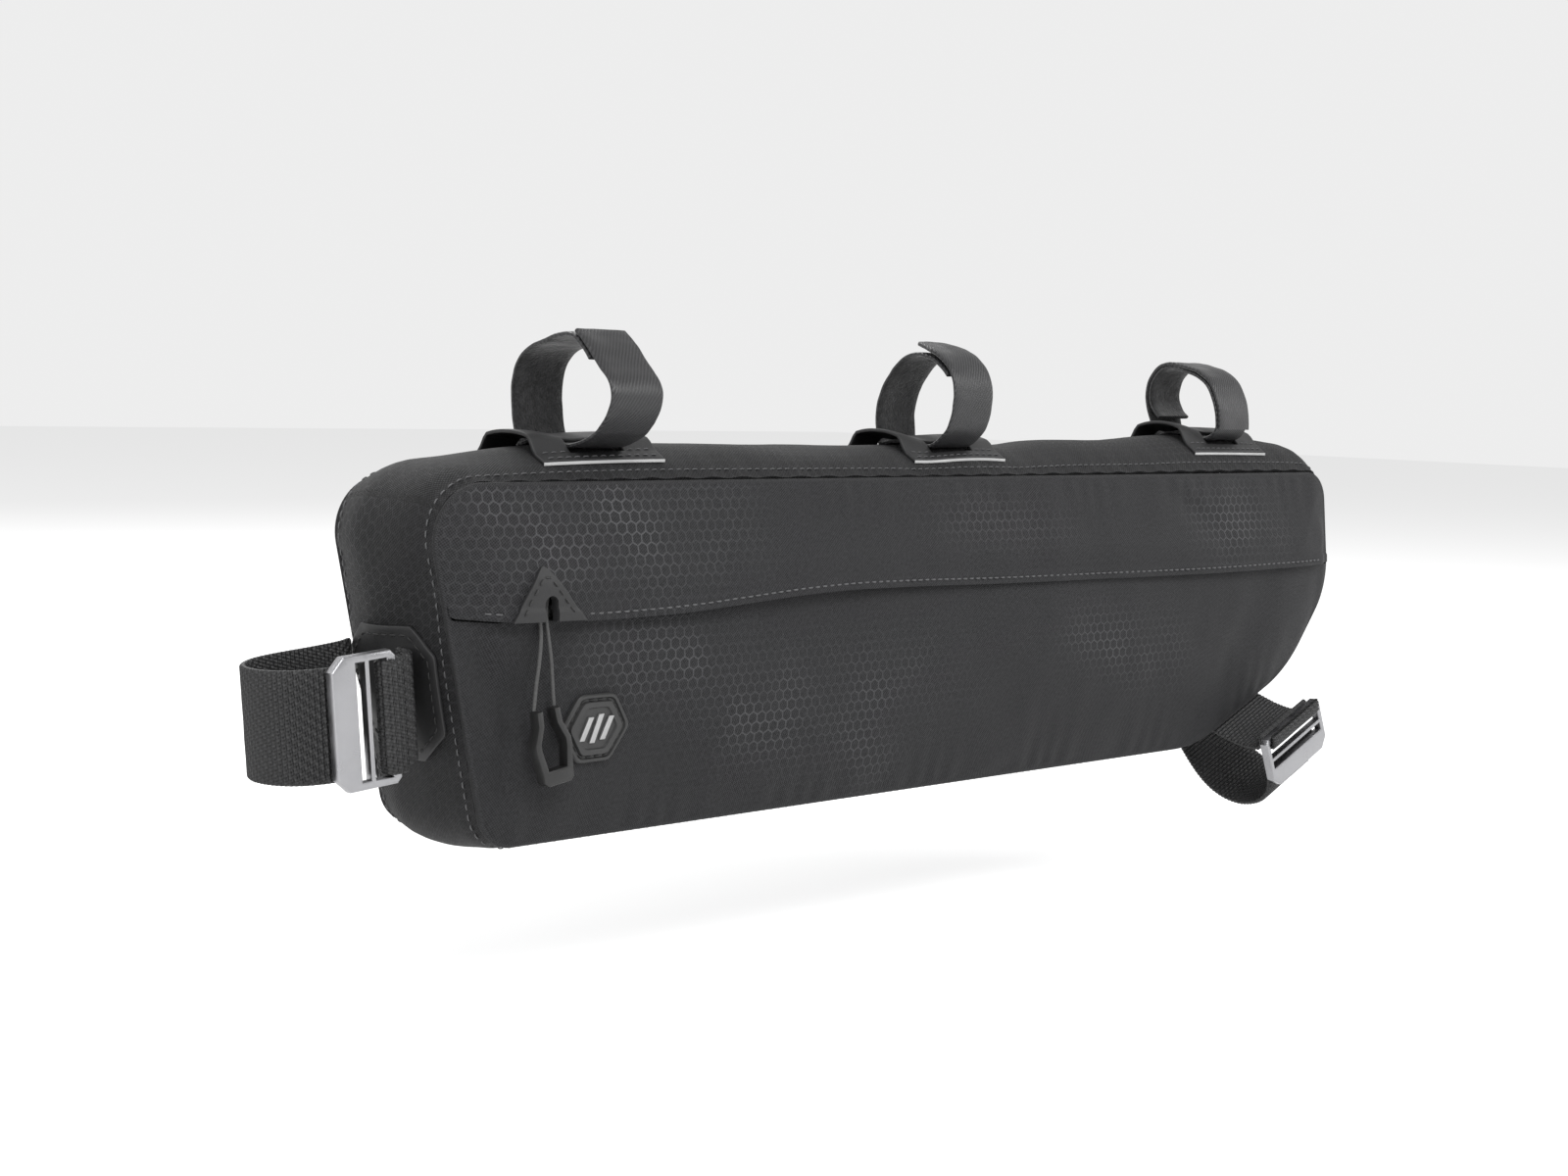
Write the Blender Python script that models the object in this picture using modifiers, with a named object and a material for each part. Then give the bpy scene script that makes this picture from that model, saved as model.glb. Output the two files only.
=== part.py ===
"""A half-frame bag for a bicycle, hung under the top tube by three hook-and-loop straps.

Metres, +Z up. +X runs along the bag towards the front of the bicycle, and -Y is the zip side.
The origin is the middle of the middle top strap's loop, on the axis of the tube that it goes round.
The soft shell is two big sides and one band between them, each a thin wall round a hollow."""

import math

import bmesh
import bpy
import numpy as np

# Bag shell
BAG_LENGTH = 0.4635  # rear top corner to nose
BAG_HEIGHT = 0.1075  # top seam to bottom seam
BAG_WIDTH = 0.052  # seam to seam
PANEL_WALL = 0.002
GUSSET_WALL = 0.0018
PANEL_BULGE = 0.006  # how far each big side stands out of its seams
BULGE_REACH = 0.045  # distance from the seam over which it rises
TOP_CROWN = 0.012
BOTTOM_CROWN = 0.004
REAR_CROWN = 0.005
FRONT_CROWN = 0.006
GAP = 0.0003  # between pieces that touch
SOFT_GAP = 0.0007  # between curved cloth pieces, which are divided into flat facets

# Zip, flap and what hangs there
FLAP_LIFT = 0.0029  # how far the flap's edge stands off the panel below it
FLAP_BLEND = 0.022  # height over which the lift dies out
FLAP_END_BLEND = 0.010  # the same towards both ends
TUCK = 0.005  # how far the lower panel reaches up behind the flap
TAPE_WIDTH = 0.024
TAPE_THICKNESS = 0.001
TAPE_DEPTH = 0.0015  # behind the panels
TAPE_END_GAP = 0.006
SLIDER_FROM_REAR = 0.0375
SLIDER_SIZE = (0.009, 0.0011, 0.012)
SLIDER_DEPTH = 0.0006  # behind the panel's inner face
POST_RADIUS = 0.0015
GARAGE_WIDTH = 0.0255
GARAGE_HEIGHT = 0.0165
GARAGE_THICKNESS = 0.0012
GARAGE_LEAN = 0.0026  # how far its tip leans to the rear
NOTCH_WIDTH = 0.005
NOTCH_HEIGHT = 0.008
CORD_DIAMETER = 0.0012
CORD_BEND = 0.0024
CORD_DROP = 0.026  # from the flap's edge to the puller
PULL_HEIGHT = 0.0225
PULL_WIDTH = 0.0135
PULL_DEPTH = 0.0044
PULL_LEG = 0.0020
PULL_TILT = 9  # degrees that it hangs off upright
PULL_LEAN = 0.002  # how far the puller's foot stands out more than its legs
BADGE_FROM_REAR = 0.0585
BADGE_DROP = 0.0735
BADGE_WIDTH = 0.027
BADGE_HEIGHT = 0.021
BADGE_THICKNESS = 0.0016
INLAY_SHARE = 0.56
INLAY_THICKNESS = 0.0006

# Hook-and-loop straps round the top tube
LOOP_RADIUS = 0.020
LOOP_LEAN = 0.0045  # the loops lean this far to the zip side
REAR_STRAP_INSET = 0.0715
FRONT_STRAP_INSET = 0.064
STRAP_WIDTH = 0.020
STRAP_THICKNESS = 0.0014
ANCHOR_LENGTH = 0.048
ANCHOR_THICKNESS = 0.0012
ANCHOR_INSET = 0.007  # from each seam
ANCHOR_BAND = 0.0040  # sewn flat along each long edge
SLOT_CLEARANCE = 0.0016

# Webbing, its tabs and its buckles
WEBBING_WIDTH = 0.033
WEBBING_THICKNESS = 0.0016
BUCKLE_LENGTH = 0.0215
BUCKLE_THICKNESS = 0.0036
BUCKLE_RAIL = 0.0030
BUCKLE_SLOT = 0.0058  # for the tab
BUCKLE_WINDOW = 0.0030  # for the loop's hook
BUCKLE_TAB_BAR = 0.0030
BUCKLE_HOOK_BAR = 0.0016
BUCKLE_CHAMFER = 0.004
BUCKLE_EDGE = 0.0005
BUCKLE_OVERLAP = 0.0015  # how far the loop's end reaches past the buckle's middle
REAR_PATCH_DROP = 0.057  # its middle, measured down the rear end
REAR_PATCH_HEIGHT = 0.041
REAR_PATCH_INSET = 0.006
REAR_PATCH_THICKNESS = 0.0012
SEAT_STRAP_BELOW = 0.002  # its middle below the patch's
SEAT_STRAP_SLANT = 5  # degrees that it hangs below level
SEAT_LOOP_REACH = 0.050  # how far the webbing stands out of the rear end
DOWN_LOOP_REACH = 0.037
DOWN_LOOP_SWING = 0.020  # how far that loop swings out past the zip side

# Where the origin lies in the bag's own terms
FRONT_TO_AXIS = BAG_WIDTH / 2 - LOOP_LEAN
STRAP_REST = SOFT_GAP + STRAP_THICKNESS / 2  # a strap's middle above the band that it lies on
AXIS_ABOVE_SEAM = 0.95 * TOP_CROWN + STRAP_REST + 0.83 * LOOP_RADIUS
STRAP_SPACING = (BAG_LENGTH - REAR_STRAP_INSET - FRONT_STRAP_INSET) / 2
REAR_X = -STRAP_SPACING - REAR_STRAP_INSET

# Corners of the big sides. along is a share of BAG_LENGTH, down and radius are shares of BAG_HEIGHT
OUTLINE = (
    # name, along, down, radius
    ("rear_top", 0.000, 0.000, 0.149),
    ("front_top", 0.985, 0.000, 0.112),
    ("nose", 1.000, 0.437, 0.279),
    ("front_lower", 0.940, 0.753, 0.558),
    ("front_bottom", 0.806, 1.000, 0.558),
    ("rear_bottom", 0.050, 1.000, 0.112),
)

# The flap's free edge. along is a share of BAG_LENGTH, down is a share of BAG_HEIGHT
FLAP_EDGE = (
    # along, down
    (0.000, 0.350),
    (0.060, 0.369),
    (0.120, 0.374),
    (0.200, 0.367),
    (0.255, 0.352),
    (0.310, 0.338),
    (0.360, 0.332),
    (0.420, 0.334),
    (0.520, 0.343),
    (0.640, 0.348),
    (0.770, 0.352),
    (1.000, 0.345),
)

# The top band's height along the bag. crown is a share of TOP_CROWN
TOP_SAG = (
    # along, crown
    (0.00, 0.45),
    (0.05, 0.64),
    (0.10, 0.82),
    (0.15, 0.93),
    (0.30, 0.95),
    (0.44, 0.92),
    (0.51, 0.96),
    (0.58, 0.97),
    (0.64, 1.06),
    (0.72, 1.10),
    (0.79, 1.24),
    (0.87, 1.24),
    (0.94, 1.15),
    (1.00, 0.90),
)

# Folds of the big sides, as valleys or ridges between two places. along is a share of BAG_LENGTH,
# down and reach are shares of BAG_HEIGHT, depth is a share of PANEL_BULGE and positive inwards
ZIP_SIDE_FOLDS = (
    # along from, down from, along to, down to, reach, depth
    (0.022, 0.41, 0.076, 0.66, 0.060, 0.50),
    (0.092, 0.42, 0.068, 0.64, 0.060, 0.42),
    (0.035, 0.72, 0.074, 0.86, 0.055, 0.30),
    (0.760, 0.05, 0.815, 0.22, 0.065, 0.34),
    (0.885, 0.44, 0.810, 0.88, 0.110, 0.34),
    (0.030, 0.24, 0.200, 0.09, 0.150, -0.30),
    (0.125, 0.44, 0.390, 0.80, 0.150, -0.30),
    (0.560, 0.55, 0.760, 0.70, 0.190, -0.22),
    (0.130, 0.70, 0.230, 0.93, 0.120, 0.22),
    (0.330, 0.12, 0.560, 0.24, 0.120, 0.16),
)
BACK_SIDE_FOLDS = (
    (0.060, 0.30, 0.240, 0.60, 0.120, 0.30),
    (0.300, 0.55, 0.600, 0.50, 0.260, -0.25),
    (0.700, 0.20, 0.800, 0.62, 0.120, 0.28),
    (0.400, 0.86, 0.620, 0.80, 0.100, 0.20),
)

# Dents of the band. round is a share of the way round the outline from the rear top corner, across is
# a share of BAG_WIDTH, depth and reach are shares of BAG_WIDTH
BAND_DENTS = (
    # round from, across from, round to, across to, reach, depth
    (0.985, 0.10, 0.955, 0.36, 0.09, 0.050),
    (0.958, 0.62, 0.950, 0.95, 0.12, -0.035),
    (0.195, 0.15, 0.215, 0.50, 0.10, 0.020),
    (0.245, 0.20, 0.262, 0.60, 0.10, 0.022),
)

# Top straps. turn is in degrees from the zip side upwards, reach is a share of LOOP_RADIUS for the
# strap's middle, and layer says how many strap thicknesses it lies outside that
REAR_LOOP = (
    # turn, reach, layer
    (58, 0.92, 1),
    (46, 0.93, 1),
    (33, 0.97, 1),
    (22, 1.02, 1),
    (12, 1.18, 0.6),
    (4, 1.36, 0.3),
    (-4, 1.46, 0),
    (-13, 1.44, 0),
    (-24, 1.36, 0),
    (-36, 1.27, 0),
    ("tunnel", 0, 0),
    (-135, 1.24, 0),
    (-145, 1.16, 0),
    (-158, 1.08, 0),
    (-173, 1.03, 0),
    (-188, 1.01, 0),
    (-203, 0.96, 0),
    (-218, 0.88, 0),
    (-235, 0.78, 0),
    (-252, 0.72, 0),
    (-270, 0.76, 0),
    (-288, 0.85, 0),
    (-302, 0.92, 0),
    (-314, 0.93, 0),
    (-326, 0.96, 0),
    (-334, 0.98, 0),
)
MIDDLE_LOOP = (
    (98, 0.83, 1),
    (90, 0.80, 1),
    (75, 0.77, 1),
    (60, 0.78, 1),
    (45, 0.82, 1),
    (30, 0.86, 1),
    (15, 0.90, 0.9),
    (0, 0.94, 0.4),
    (-13, 0.98, 0),
    (-28, 1.01, 0),
    (-39, 1.04, 0),
    ("tunnel", 0, 0),
    (-141, 1.14, 0),
    (-149, 1.05, 0),
    (-158, 0.99, 0),
    (-172, 0.88, 0),
    (-187, 0.79, 0),
    (-204, 0.71, 0),
    (-227, 0.69, 0),
    (-252, 0.71, 0),
    (-270, 0.72, 0),
    (-288, 0.73, 0),
    (-305, 0.76, 0),
    (-322, 0.81, 0),
    (-336, 0.85, 0),
)
FRONT_LOOP = (
    (206, 0.90, -1),
    (196, 0.99, -1),
    (180, 1.09, -1),
    (162, 1.11, -1),
    (146, 1.08, -1),
    (130, 0.98, -1),
    (112, 0.76, -1),
    (95, 0.66, -1),
    (75, 0.62, -1),
    (55, 0.61, -1),
    (35, 0.62, -1),
    (15, 0.64, -1),
    (-5, 0.72, -1),
    (-24, 0.84, -1),
    (-40, 1.00, -0.8),
    ("tunnel", 0, 0),
    (-141, 1.14, 0),
    (-152, 1.03, 0),
    (-165, 1.04, 0),
    (-180, 1.09, 0),
    (-198, 1.11, 0),
    (-214, 1.08, 0),
    (-230, 0.98, 0),
    (-248, 0.76, 0),
    (-265, 0.66, 0),
    (-285, 0.62, 0),
    (-305, 0.61, 0),
    (-325, 0.62, 0),
    (-345, 0.64, 0),
    (-365, 0.72, 0),
    (-384, 0.84, 0),
    (-396, 0.94, 0.2),
)

# Seat tube webbing, seen from above. out is a share of SEAT_LOOP_REACH, across is a share of BAG_WIDTH
SEAT_STRAP = (
    # out, across
    (0.56, 0.13),
    (0.70, 0.12),
    (0.84, 0.17),
    (0.95, 0.28),
    (1.00, 0.46),
    (0.95, 0.64),
    (0.80, 0.76),
    (0.60, 0.79),
    (0.38, 0.79),
    (0.14, 0.82),
    (0.06, 0.87),
)
SEAT_TAB = (
    (0.07, 0.36),
    (0.08, 0.27),
    (0.11, 0.19),
)

# Down tube webbing, seen along the sloping lower edge. out is a share of DOWN_LOOP_REACH, swing is a
# share of DOWN_LOOP_SWING before the zip side, and across a share of BAG_WIDTH behind it
DOWN_STRAP = (
    # out, swing, across
    (0.41, 0.98, 0),
    (0.55, 0.97, 0),
    (0.68, 0.93, 0),
    (0.82, 0.80, 0),
    (0.93, 0.52, 0),
    (0.98, 0.16, 0),
    (0.95, 0, 0.10),
    (0.82, 0, 0.24),
    (0.64, 0, 0.33),
    (0.46, 0, 0.39),
    (0.28, 0, 0.44),
    (0.13, 0, 0.50),
)
DOWN_TAB = (
    (0.07, 0, 0.10),
    (0.14, 0.02, 0),
    (0.21, 0.35, 0),
    (0.24, 0.70, 0),
    (0.22, 0.92, 0),
)

# How a tab goes round its buckle's bar, in shares of its distance from the bar's middle
TAB_WRAP = (
    # out, towards the bag's middle
    (-0.70, 1.0),
    (0.50, 1.0),
    (1.00, 0.6),
    (1.00, -0.6),
    (0.50, -1.0),
    (-0.90, -1.0),
)

# Finishes: red, green, blue, roughness, metallic
FINISHES = {
    "bag_fabric": (0.030, 0.030, 0.032, 0.75, 0.0),
    "band_fabric": (0.022, 0.022, 0.024, 0.80, 0.0),
    "coated_patch": (0.028, 0.028, 0.030, 0.50, 0.0),
    "strap_tape": (0.035, 0.035, 0.037, 0.60, 0.0),
    "webbing": (0.018, 0.018, 0.018, 0.70, 0.0),
    "zip_tape": (0.012, 0.012, 0.012, 0.80, 0.0),
    "rubber": (0.045, 0.045, 0.045, 0.55, 0.0),
    "inlay": (0.45, 0.45, 0.45, 0.40, 0.0),
    "cord": (0.020, 0.020, 0.020, 0.70, 0.0),
    "moulding": (0.030, 0.030, 0.030, 0.40, 0.0),
    "buckle_metal": (0.46, 0.46, 0.47, 0.38, 0.9),
    "slider_metal": (0.10, 0.10, 0.10, 0.45, 0.9),
}

# How finely the soft shapes are divided
CORNER_CUTS = 3
ARC_STEPS = 24
PANEL_STEPS = 40
UPPER_ROWS = 8
LOWER_ROWS = 11
BACK_COLUMNS = 34
BACK_ROWS = 12
BAND_STEPS = 84
BAND_ROWS = 7
LOOP_STEPS = 36
WEBBING_STEPS = 26
TAB_STEPS = 20


def unit(vector):
    """The vector at length 1."""
    return vector / np.linalg.norm(vector)


def smooth(start, end, value):
    """0 up to start, 1 from end on, and an even rise between them."""
    t = np.clip((value - start) / (end - start), 0, 1)
    return t * t * (3 - 2 * t)


def spline(places, values, at):
    """Values read from a smooth curve through them, which has no overshoot at the ends."""
    places, values = np.asarray(places, float), np.asarray(values, float)
    slopes = np.gradient(values, places, axis=0)
    at = np.clip(at, places[0], places[-1])
    i = np.clip(np.searchsorted(places, at, side="right") - 1, 0, len(places) - 2)
    step = places[i + 1] - places[i]
    t = (at - places[i]) / step
    if values.ndim > 1:
        t, step = t[:, None], step[:, None]
    return (
        (2 * t**3 - 3 * t**2 + 1) * values[i]
        + (t**3 - 2 * t**2 + t) * step * slopes[i]
        + (3 * t**2 - 2 * t**3) * values[i + 1]
        + (t**3 - t**2) * step * slopes[i + 1]
    )


def evenly(points, count):
    """The route through the points with its corners rounded off, read at evenly spaced places."""
    points = np.asarray(points, float)
    for _ in range(CORNER_CUTS):
        near = 0.75 * points[:-1] + 0.25 * points[1:]
        far = 0.25 * points[:-1] + 0.75 * points[1:]
        between = np.stack([near, far], axis=1).reshape(-1, points.shape[1])
        points = np.vstack([points[:1], between, points[-1:]])
    length = np.concatenate([[0], np.cumsum(np.linalg.norm(np.diff(points, axis=0), axis=1))])
    wanted = np.linspace(0, length[-1], count)
    return np.stack([np.interp(wanted, length, points[:, k]) for k in range(points.shape[1])], axis=1)


def rounded_outline():
    """The big sides' outline as points (x, z), clockwise seen from the zip side, and each arc's middle."""
    corners = np.array([(REAR_X + along * BAG_LENGTH, -down * BAG_HEIGHT) for _, along, down, _ in OUTLINE])
    points, middles = [], {}
    for i, (name, _, _, share) in enumerate(OUTLINE):
        here = corners[i]
        back = unit(corners[i - 1] - here)
        ahead = unit(corners[(i + 1) % len(OUTLINE)] - here)
        half = math.acos(float(back @ ahead)) / 2
        radius = share * BAG_HEIGHT
        centre = here + unit(back + ahead) * radius / math.sin(half)
        start = here + back * radius / math.tan(half) - centre
        end = here + ahead * radius / math.tan(half) - centre
        turn = math.pi - 2 * half
        for k in range(ARC_STEPS + 1):
            t = k / ARC_STEPS
            arm = (start * math.sin((1 - t) * turn) + end * math.sin(t * turn)) / math.sin(turn)
            points.append(centre + arm)
            if k == ARC_STEPS // 2:
                middles[name] = len(points) - 1
    return np.array(points), middles


OUTLINE_POINTS, ARC_MIDDLES = rounded_outline()
CLOSED = np.vstack([OUTLINE_POINTS, OUTLINE_POINTS[:1]])
ROUND = np.concatenate([[0], np.cumsum(np.linalg.norm(np.diff(CLOSED, axis=0), axis=1))])
LAP = ROUND[-1]


def on_outline(places):
    """The outline's points (x, z) at these distances round it."""
    places = np.mod(places, LAP)
    return np.stack([np.interp(places, ROUND, CLOSED[:, k]) for k in range(2)], axis=-1)


def outward(places):
    """The outline's normals there, pointing out of the bag."""
    reach = LAP / 400
    along = on_outline(np.asarray(places) + reach) - on_outline(np.asarray(places) - reach)
    normal = np.stack([-along[..., 1], along[..., 0]], axis=-1)
    return normal / np.linalg.norm(normal, axis=-1, keepdims=True)


def arc_middle(name):
    """The distance round the outline of a corner's middle."""
    return ROUND[ARC_MIDDLES[name]]


def stretch(start, end, count):
    """Evenly spaced points of the outline from one distance on to another, the short way ahead."""
    return on_outline(start + np.linspace(0, (end - start) % LAP, count))


def place_at_height(z, start, end):
    """The distance round the outline, between two others, at which it passes a height."""
    places = start + np.linspace(0, (end - start) % LAP, 400)
    heights = on_outline(places)[:, 1]
    return places[np.argmin(np.abs(heights - z))]


def seam_distance(x, z):
    """The distance from points of a big side to its seam."""
    here = np.stack([x, z], axis=-1)[..., None, :]
    start, end = CLOSED[:-1], CLOSED[1:]
    run = end - start
    t = np.clip(((here - start) * run).sum(-1) / (run * run).sum(-1), 0, 1)
    return np.linalg.norm(here - start - t[..., None] * run, axis=-1).min(-1)


def ridge(a, b, start, end, reach):
    """1 along the line from start to end, falling to 0 beside it and beyond its ends."""
    start, end = np.array(start), np.array(end)
    run = end - start
    t = ((a - start[0]) * run[0] + (b - start[1]) * run[1]) / (run @ run)
    near = np.clip(t, 0, 1)
    off = np.hypot(a - start[0] - near * run[0], b - start[1] - near * run[1])
    return np.exp(-((off / reach) ** 2)) * (0.55 + 0.45 * np.sin(math.pi * near))


def side_bulge(x, z, folds):
    """How far a big side stands out at (x, z)."""
    x, z = np.broadcast_arrays(x, z)
    depth = seam_distance(x, z)
    rise = 1 - (1 - np.clip(depth / BULGE_REACH, 0, 1)) ** 2.4
    out = PANEL_BULGE * rise
    hold = smooth(0, 0.25 * BULGE_REACH, depth)
    for along_a, down_a, along_b, down_b, reach, share in folds:
        start = (REAR_X + along_a * BAG_LENGTH, -down_a * BAG_HEIGHT)
        end = (REAR_X + along_b * BAG_LENGTH, -down_b * BAG_HEIGHT)
        out = out - share * PANEL_BULGE * hold * ridge(x, z, start, end, reach * BAG_HEIGHT)
    return out


def flap_edge(x):
    """The height of the flap's free edge."""
    table = np.array(FLAP_EDGE)
    return -spline(table[:, 0], table[:, 1], (x - REAR_X) / BAG_LENGTH) * BAG_HEIGHT


def flap_lift(x, z):
    """How far the flap stands off the surface that the lower panel would have there."""
    start = on_outline(FLAP_REAR)[0] + 0.3 * FLAP_END_BLEND
    end = on_outline(FLAP_FRONT)[0] - 0.3 * FLAP_END_BLEND
    ends = smooth(start, start + FLAP_END_BLEND, x) * (1 - smooth(end - FLAP_END_BLEND, end, x))
    over = z - flap_edge(x)
    return FLAP_LIFT * ends * (1 - smooth(0.45 * FLAP_BLEND, 1.1 * FLAP_BLEND, over))


def zip_side(x, z):
    """The zip side's outer surface below the flap, as y in the bag's frame."""
    return -side_bulge(x, z, ZIP_SIDE_FOLDS)


def flap_side(x, z):
    """The same above the zip, with the flap's lift."""
    return zip_side(x, z) - flap_lift(x, z)


FLAP_REAR = place_at_height(-FLAP_EDGE[0][1] * BAG_HEIGHT, arc_middle("rear_bottom"), arc_middle("rear_top"))
FLAP_FRONT = place_at_height(-FLAP_EDGE[-1][1] * BAG_HEIGHT, arc_middle("front_top"), arc_middle("front_lower"))
SLIDER_X = REAR_X + SLIDER_FROM_REAR


def band_crown(places):
    """How far the band stands out of the outline at mid width, at these distances round it."""
    normal = outward(places)
    x = on_outline(places)[..., 0]
    table = np.array(TOP_SAG)
    sag = spline(table[:, 0], table[:, 1], np.clip((x - REAR_X) / BAG_LENGTH, 0, 1))
    above, below = np.clip(normal[..., 1], 0, 1) ** 2, np.clip(-normal[..., 1], 0, 1) ** 2
    behind, ahead = np.clip(-normal[..., 0], 0, 1) ** 2, np.clip(normal[..., 0], 0, 1) ** 2
    return TOP_CROWN * sag * above + BOTTOM_CROWN * below + REAR_CROWN * behind + FRONT_CROWN * ahead


def arch(across):
    """The band's rounded profile over its width, from 0 at a seam to 1 in the middle."""
    return 1 - np.abs(2 * across - 1) ** 2.3


def band_point(places, across, above=0.0):
    """Points (x, y, z) of the band's outer surface, or as far above it as asked."""
    places, across = np.broadcast_arrays(np.asarray(places, float), np.asarray(across, float))
    base, normal = on_outline(places), outward(places)
    out = band_crown(places) * arch(across)
    rounds = np.mod(places - arc_middle("rear_top"), LAP) / LAP
    hold = smooth(0, 0.12, across) * smooth(0, 0.12, 1 - across)
    for round_a, across_a, round_b, across_b, reach, depth in BAND_DENTS:
        a, b = rounds * LAP / BAG_WIDTH, across
        start = (round_a * LAP / BAG_WIDTH, across_a)
        end = (round_b * LAP / BAG_WIDTH, across_b)
        out = out - depth * BAG_WIDTH * hold * ridge(a, b, start, end, 2 * reach)
    out = out + above
    flat = base + normal * out[..., None]
    return np.stack([flat[..., 0], across * BAG_WIDTH, flat[..., 1]], axis=-1)


def top_height(x, y):
    """The band's height above the top seam, on its straight top stretch."""
    place = arc_middle("rear_top") + (x - on_outline(arc_middle("rear_top"))[0])
    return band_point(place, y / BAG_WIDTH)[..., 2]


def placed(points):
    """Points of the bag's own frame, from the top seam of the zip side, in the part's frame."""
    return np.asarray(points, float) - np.array([0, FRONT_TO_AXIS, AXIS_ABOVE_SEAM])


def coons(left, right, bottom, top):
    """A grid of points inside four edges that meet at their ends."""
    rows, columns = len(left), len(bottom)
    v = np.linspace(0, 1, rows)[:, None, None]
    u = np.linspace(0, 1, columns)[None, :, None]
    across = left[:, None] * (1 - u) + right[:, None] * u
    up = bottom[None] * (1 - v) + top[None] * v
    corners = (
        bottom[0] * (1 - u) * (1 - v) + bottom[-1] * u * (1 - v) + top[0] * (1 - u) * v + top[-1] * u * v
    )
    return across + up - corners


def finish(name):
    """The Principled material of that name."""
    found = bpy.data.materials.get(name)
    if found:
        return found
    red, green, blue, roughness, metallic = FINISHES[name]
    made = bpy.data.materials.new(name)
    made.use_nodes = True
    shader = made.node_tree.nodes["Principled BSDF"]
    shader.inputs["Base Color"].default_value = (red, green, blue, 1)
    shader.inputs["Roughness"].default_value = roughness
    shader.inputs["Metallic"].default_value = metallic
    made.diffuse_color = (red, green, blue, 1)
    return made


def add_object(name, data, material, collection):
    """Puts a mesh or curve in the scene as one named piece."""
    obj = bpy.data.objects.new(name, data)
    collection.objects.link(obj)
    if material:
        data.materials.append(finish(material))
    return obj


def sheet(name, grid, wall, material, collection, skip=None, closed=False, centred=False):
    """A thin wall from a grid of points of its outer surface. skip leaves faces out."""
    rows, columns = grid.shape[:2]
    mesh = bmesh.new()
    corners = [[mesh.verts.new(point) for point in row] for row in placed(grid)]
    for r in range(rows - 1):
        for c in range(columns if closed else columns - 1):
            if skip and skip(r, c):
                continue
            n = (c + 1) % columns
            mesh.faces.new((corners[r][c], corners[r][n], corners[r + 1][n], corners[r + 1][c]))
    for corner in [corner for corner in mesh.verts if not corner.link_faces]:
        mesh.verts.remove(corner)
    data = bpy.data.meshes.new(name)
    mesh.to_mesh(data)
    mesh.free()
    data.shade_smooth()
    obj = add_object(name, data, material, collection)
    solidify = obj.modifiers.new("Wall", "SOLIDIFY")
    solidify.thickness = wall
    solidify.offset = 0 if centred else -1
    return obj


def prism(name, outline, thickness, material, collection, holes=()):
    """A flat outline drawn in X and Z, with any holes, extruded to its thickness along Y."""
    curve = bpy.data.curves.new(name, "CURVE")
    curve.dimensions = "2D"
    curve.fill_mode = "BOTH"
    curve.extrude = thickness / 2
    for loop in (outline, *holes):
        run = curve.splines.new("POLY")
        run.points.add(len(loop) - 1)
        for point, (x, z) in zip(run.points, loop):
            point.co = (x, z, 0, 1)
        run.use_cyclic_u = True
    obj = add_object(name, curve, material, collection)
    obj.rotation_euler = (math.pi / 2, 0, 0)
    return obj


def as_mesh(obj):
    """Replaces a curve object by its welded mesh, so that it can be cut."""
    bpy.context.view_layer.update()
    graph = bpy.context.evaluated_depsgraph_get()
    data = bpy.data.meshes.new_from_object(obj.evaluated_get(graph))
    mesh = bmesh.new()
    mesh.from_mesh(data)
    bmesh.ops.remove_doubles(mesh, verts=mesh.verts, dist=1e-6)
    mesh.to_mesh(data)
    mesh.free()
    name, collection, matrix = obj.name, obj.users_collection[0], obj.matrix_world.copy()
    bpy.data.objects.remove(obj)
    made = bpy.data.objects.new(name, data)
    collection.objects.link(made)
    made.matrix_world = matrix
    return made


def cut(obj, cutter):
    """Cuts one piece by a hidden cutter."""
    boolean = obj.modifiers.new("Cut", "BOOLEAN")
    boolean.operation = "DIFFERENCE"
    boolean.object = cutter


def upper_panel(collection):
    """The zip side above the zip. Its lower edge is the free flap."""
    rear, front = arc_middle("rear_top"), arc_middle("front_top")
    left = stretch(FLAP_REAR, rear, UPPER_ROWS)
    top = stretch(rear, front, PANEL_STEPS)
    right = stretch(front, FLAP_FRONT, UPPER_ROWS)[::-1]
    x = np.linspace(left[0][0], right[0][0], PANEL_STEPS)
    bottom = np.stack([x, flap_edge(x)], axis=1)
    bottom[0], bottom[-1] = left[0], right[0]
    flat = coons(left, right, bottom, top)
    grid = np.stack([flat[..., 0], flap_side(flat[..., 0], flat[..., 1]), flat[..., 1]], axis=-1)
    return sheet("upper_panel", grid, PANEL_WALL, "bag_fabric", collection)


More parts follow.
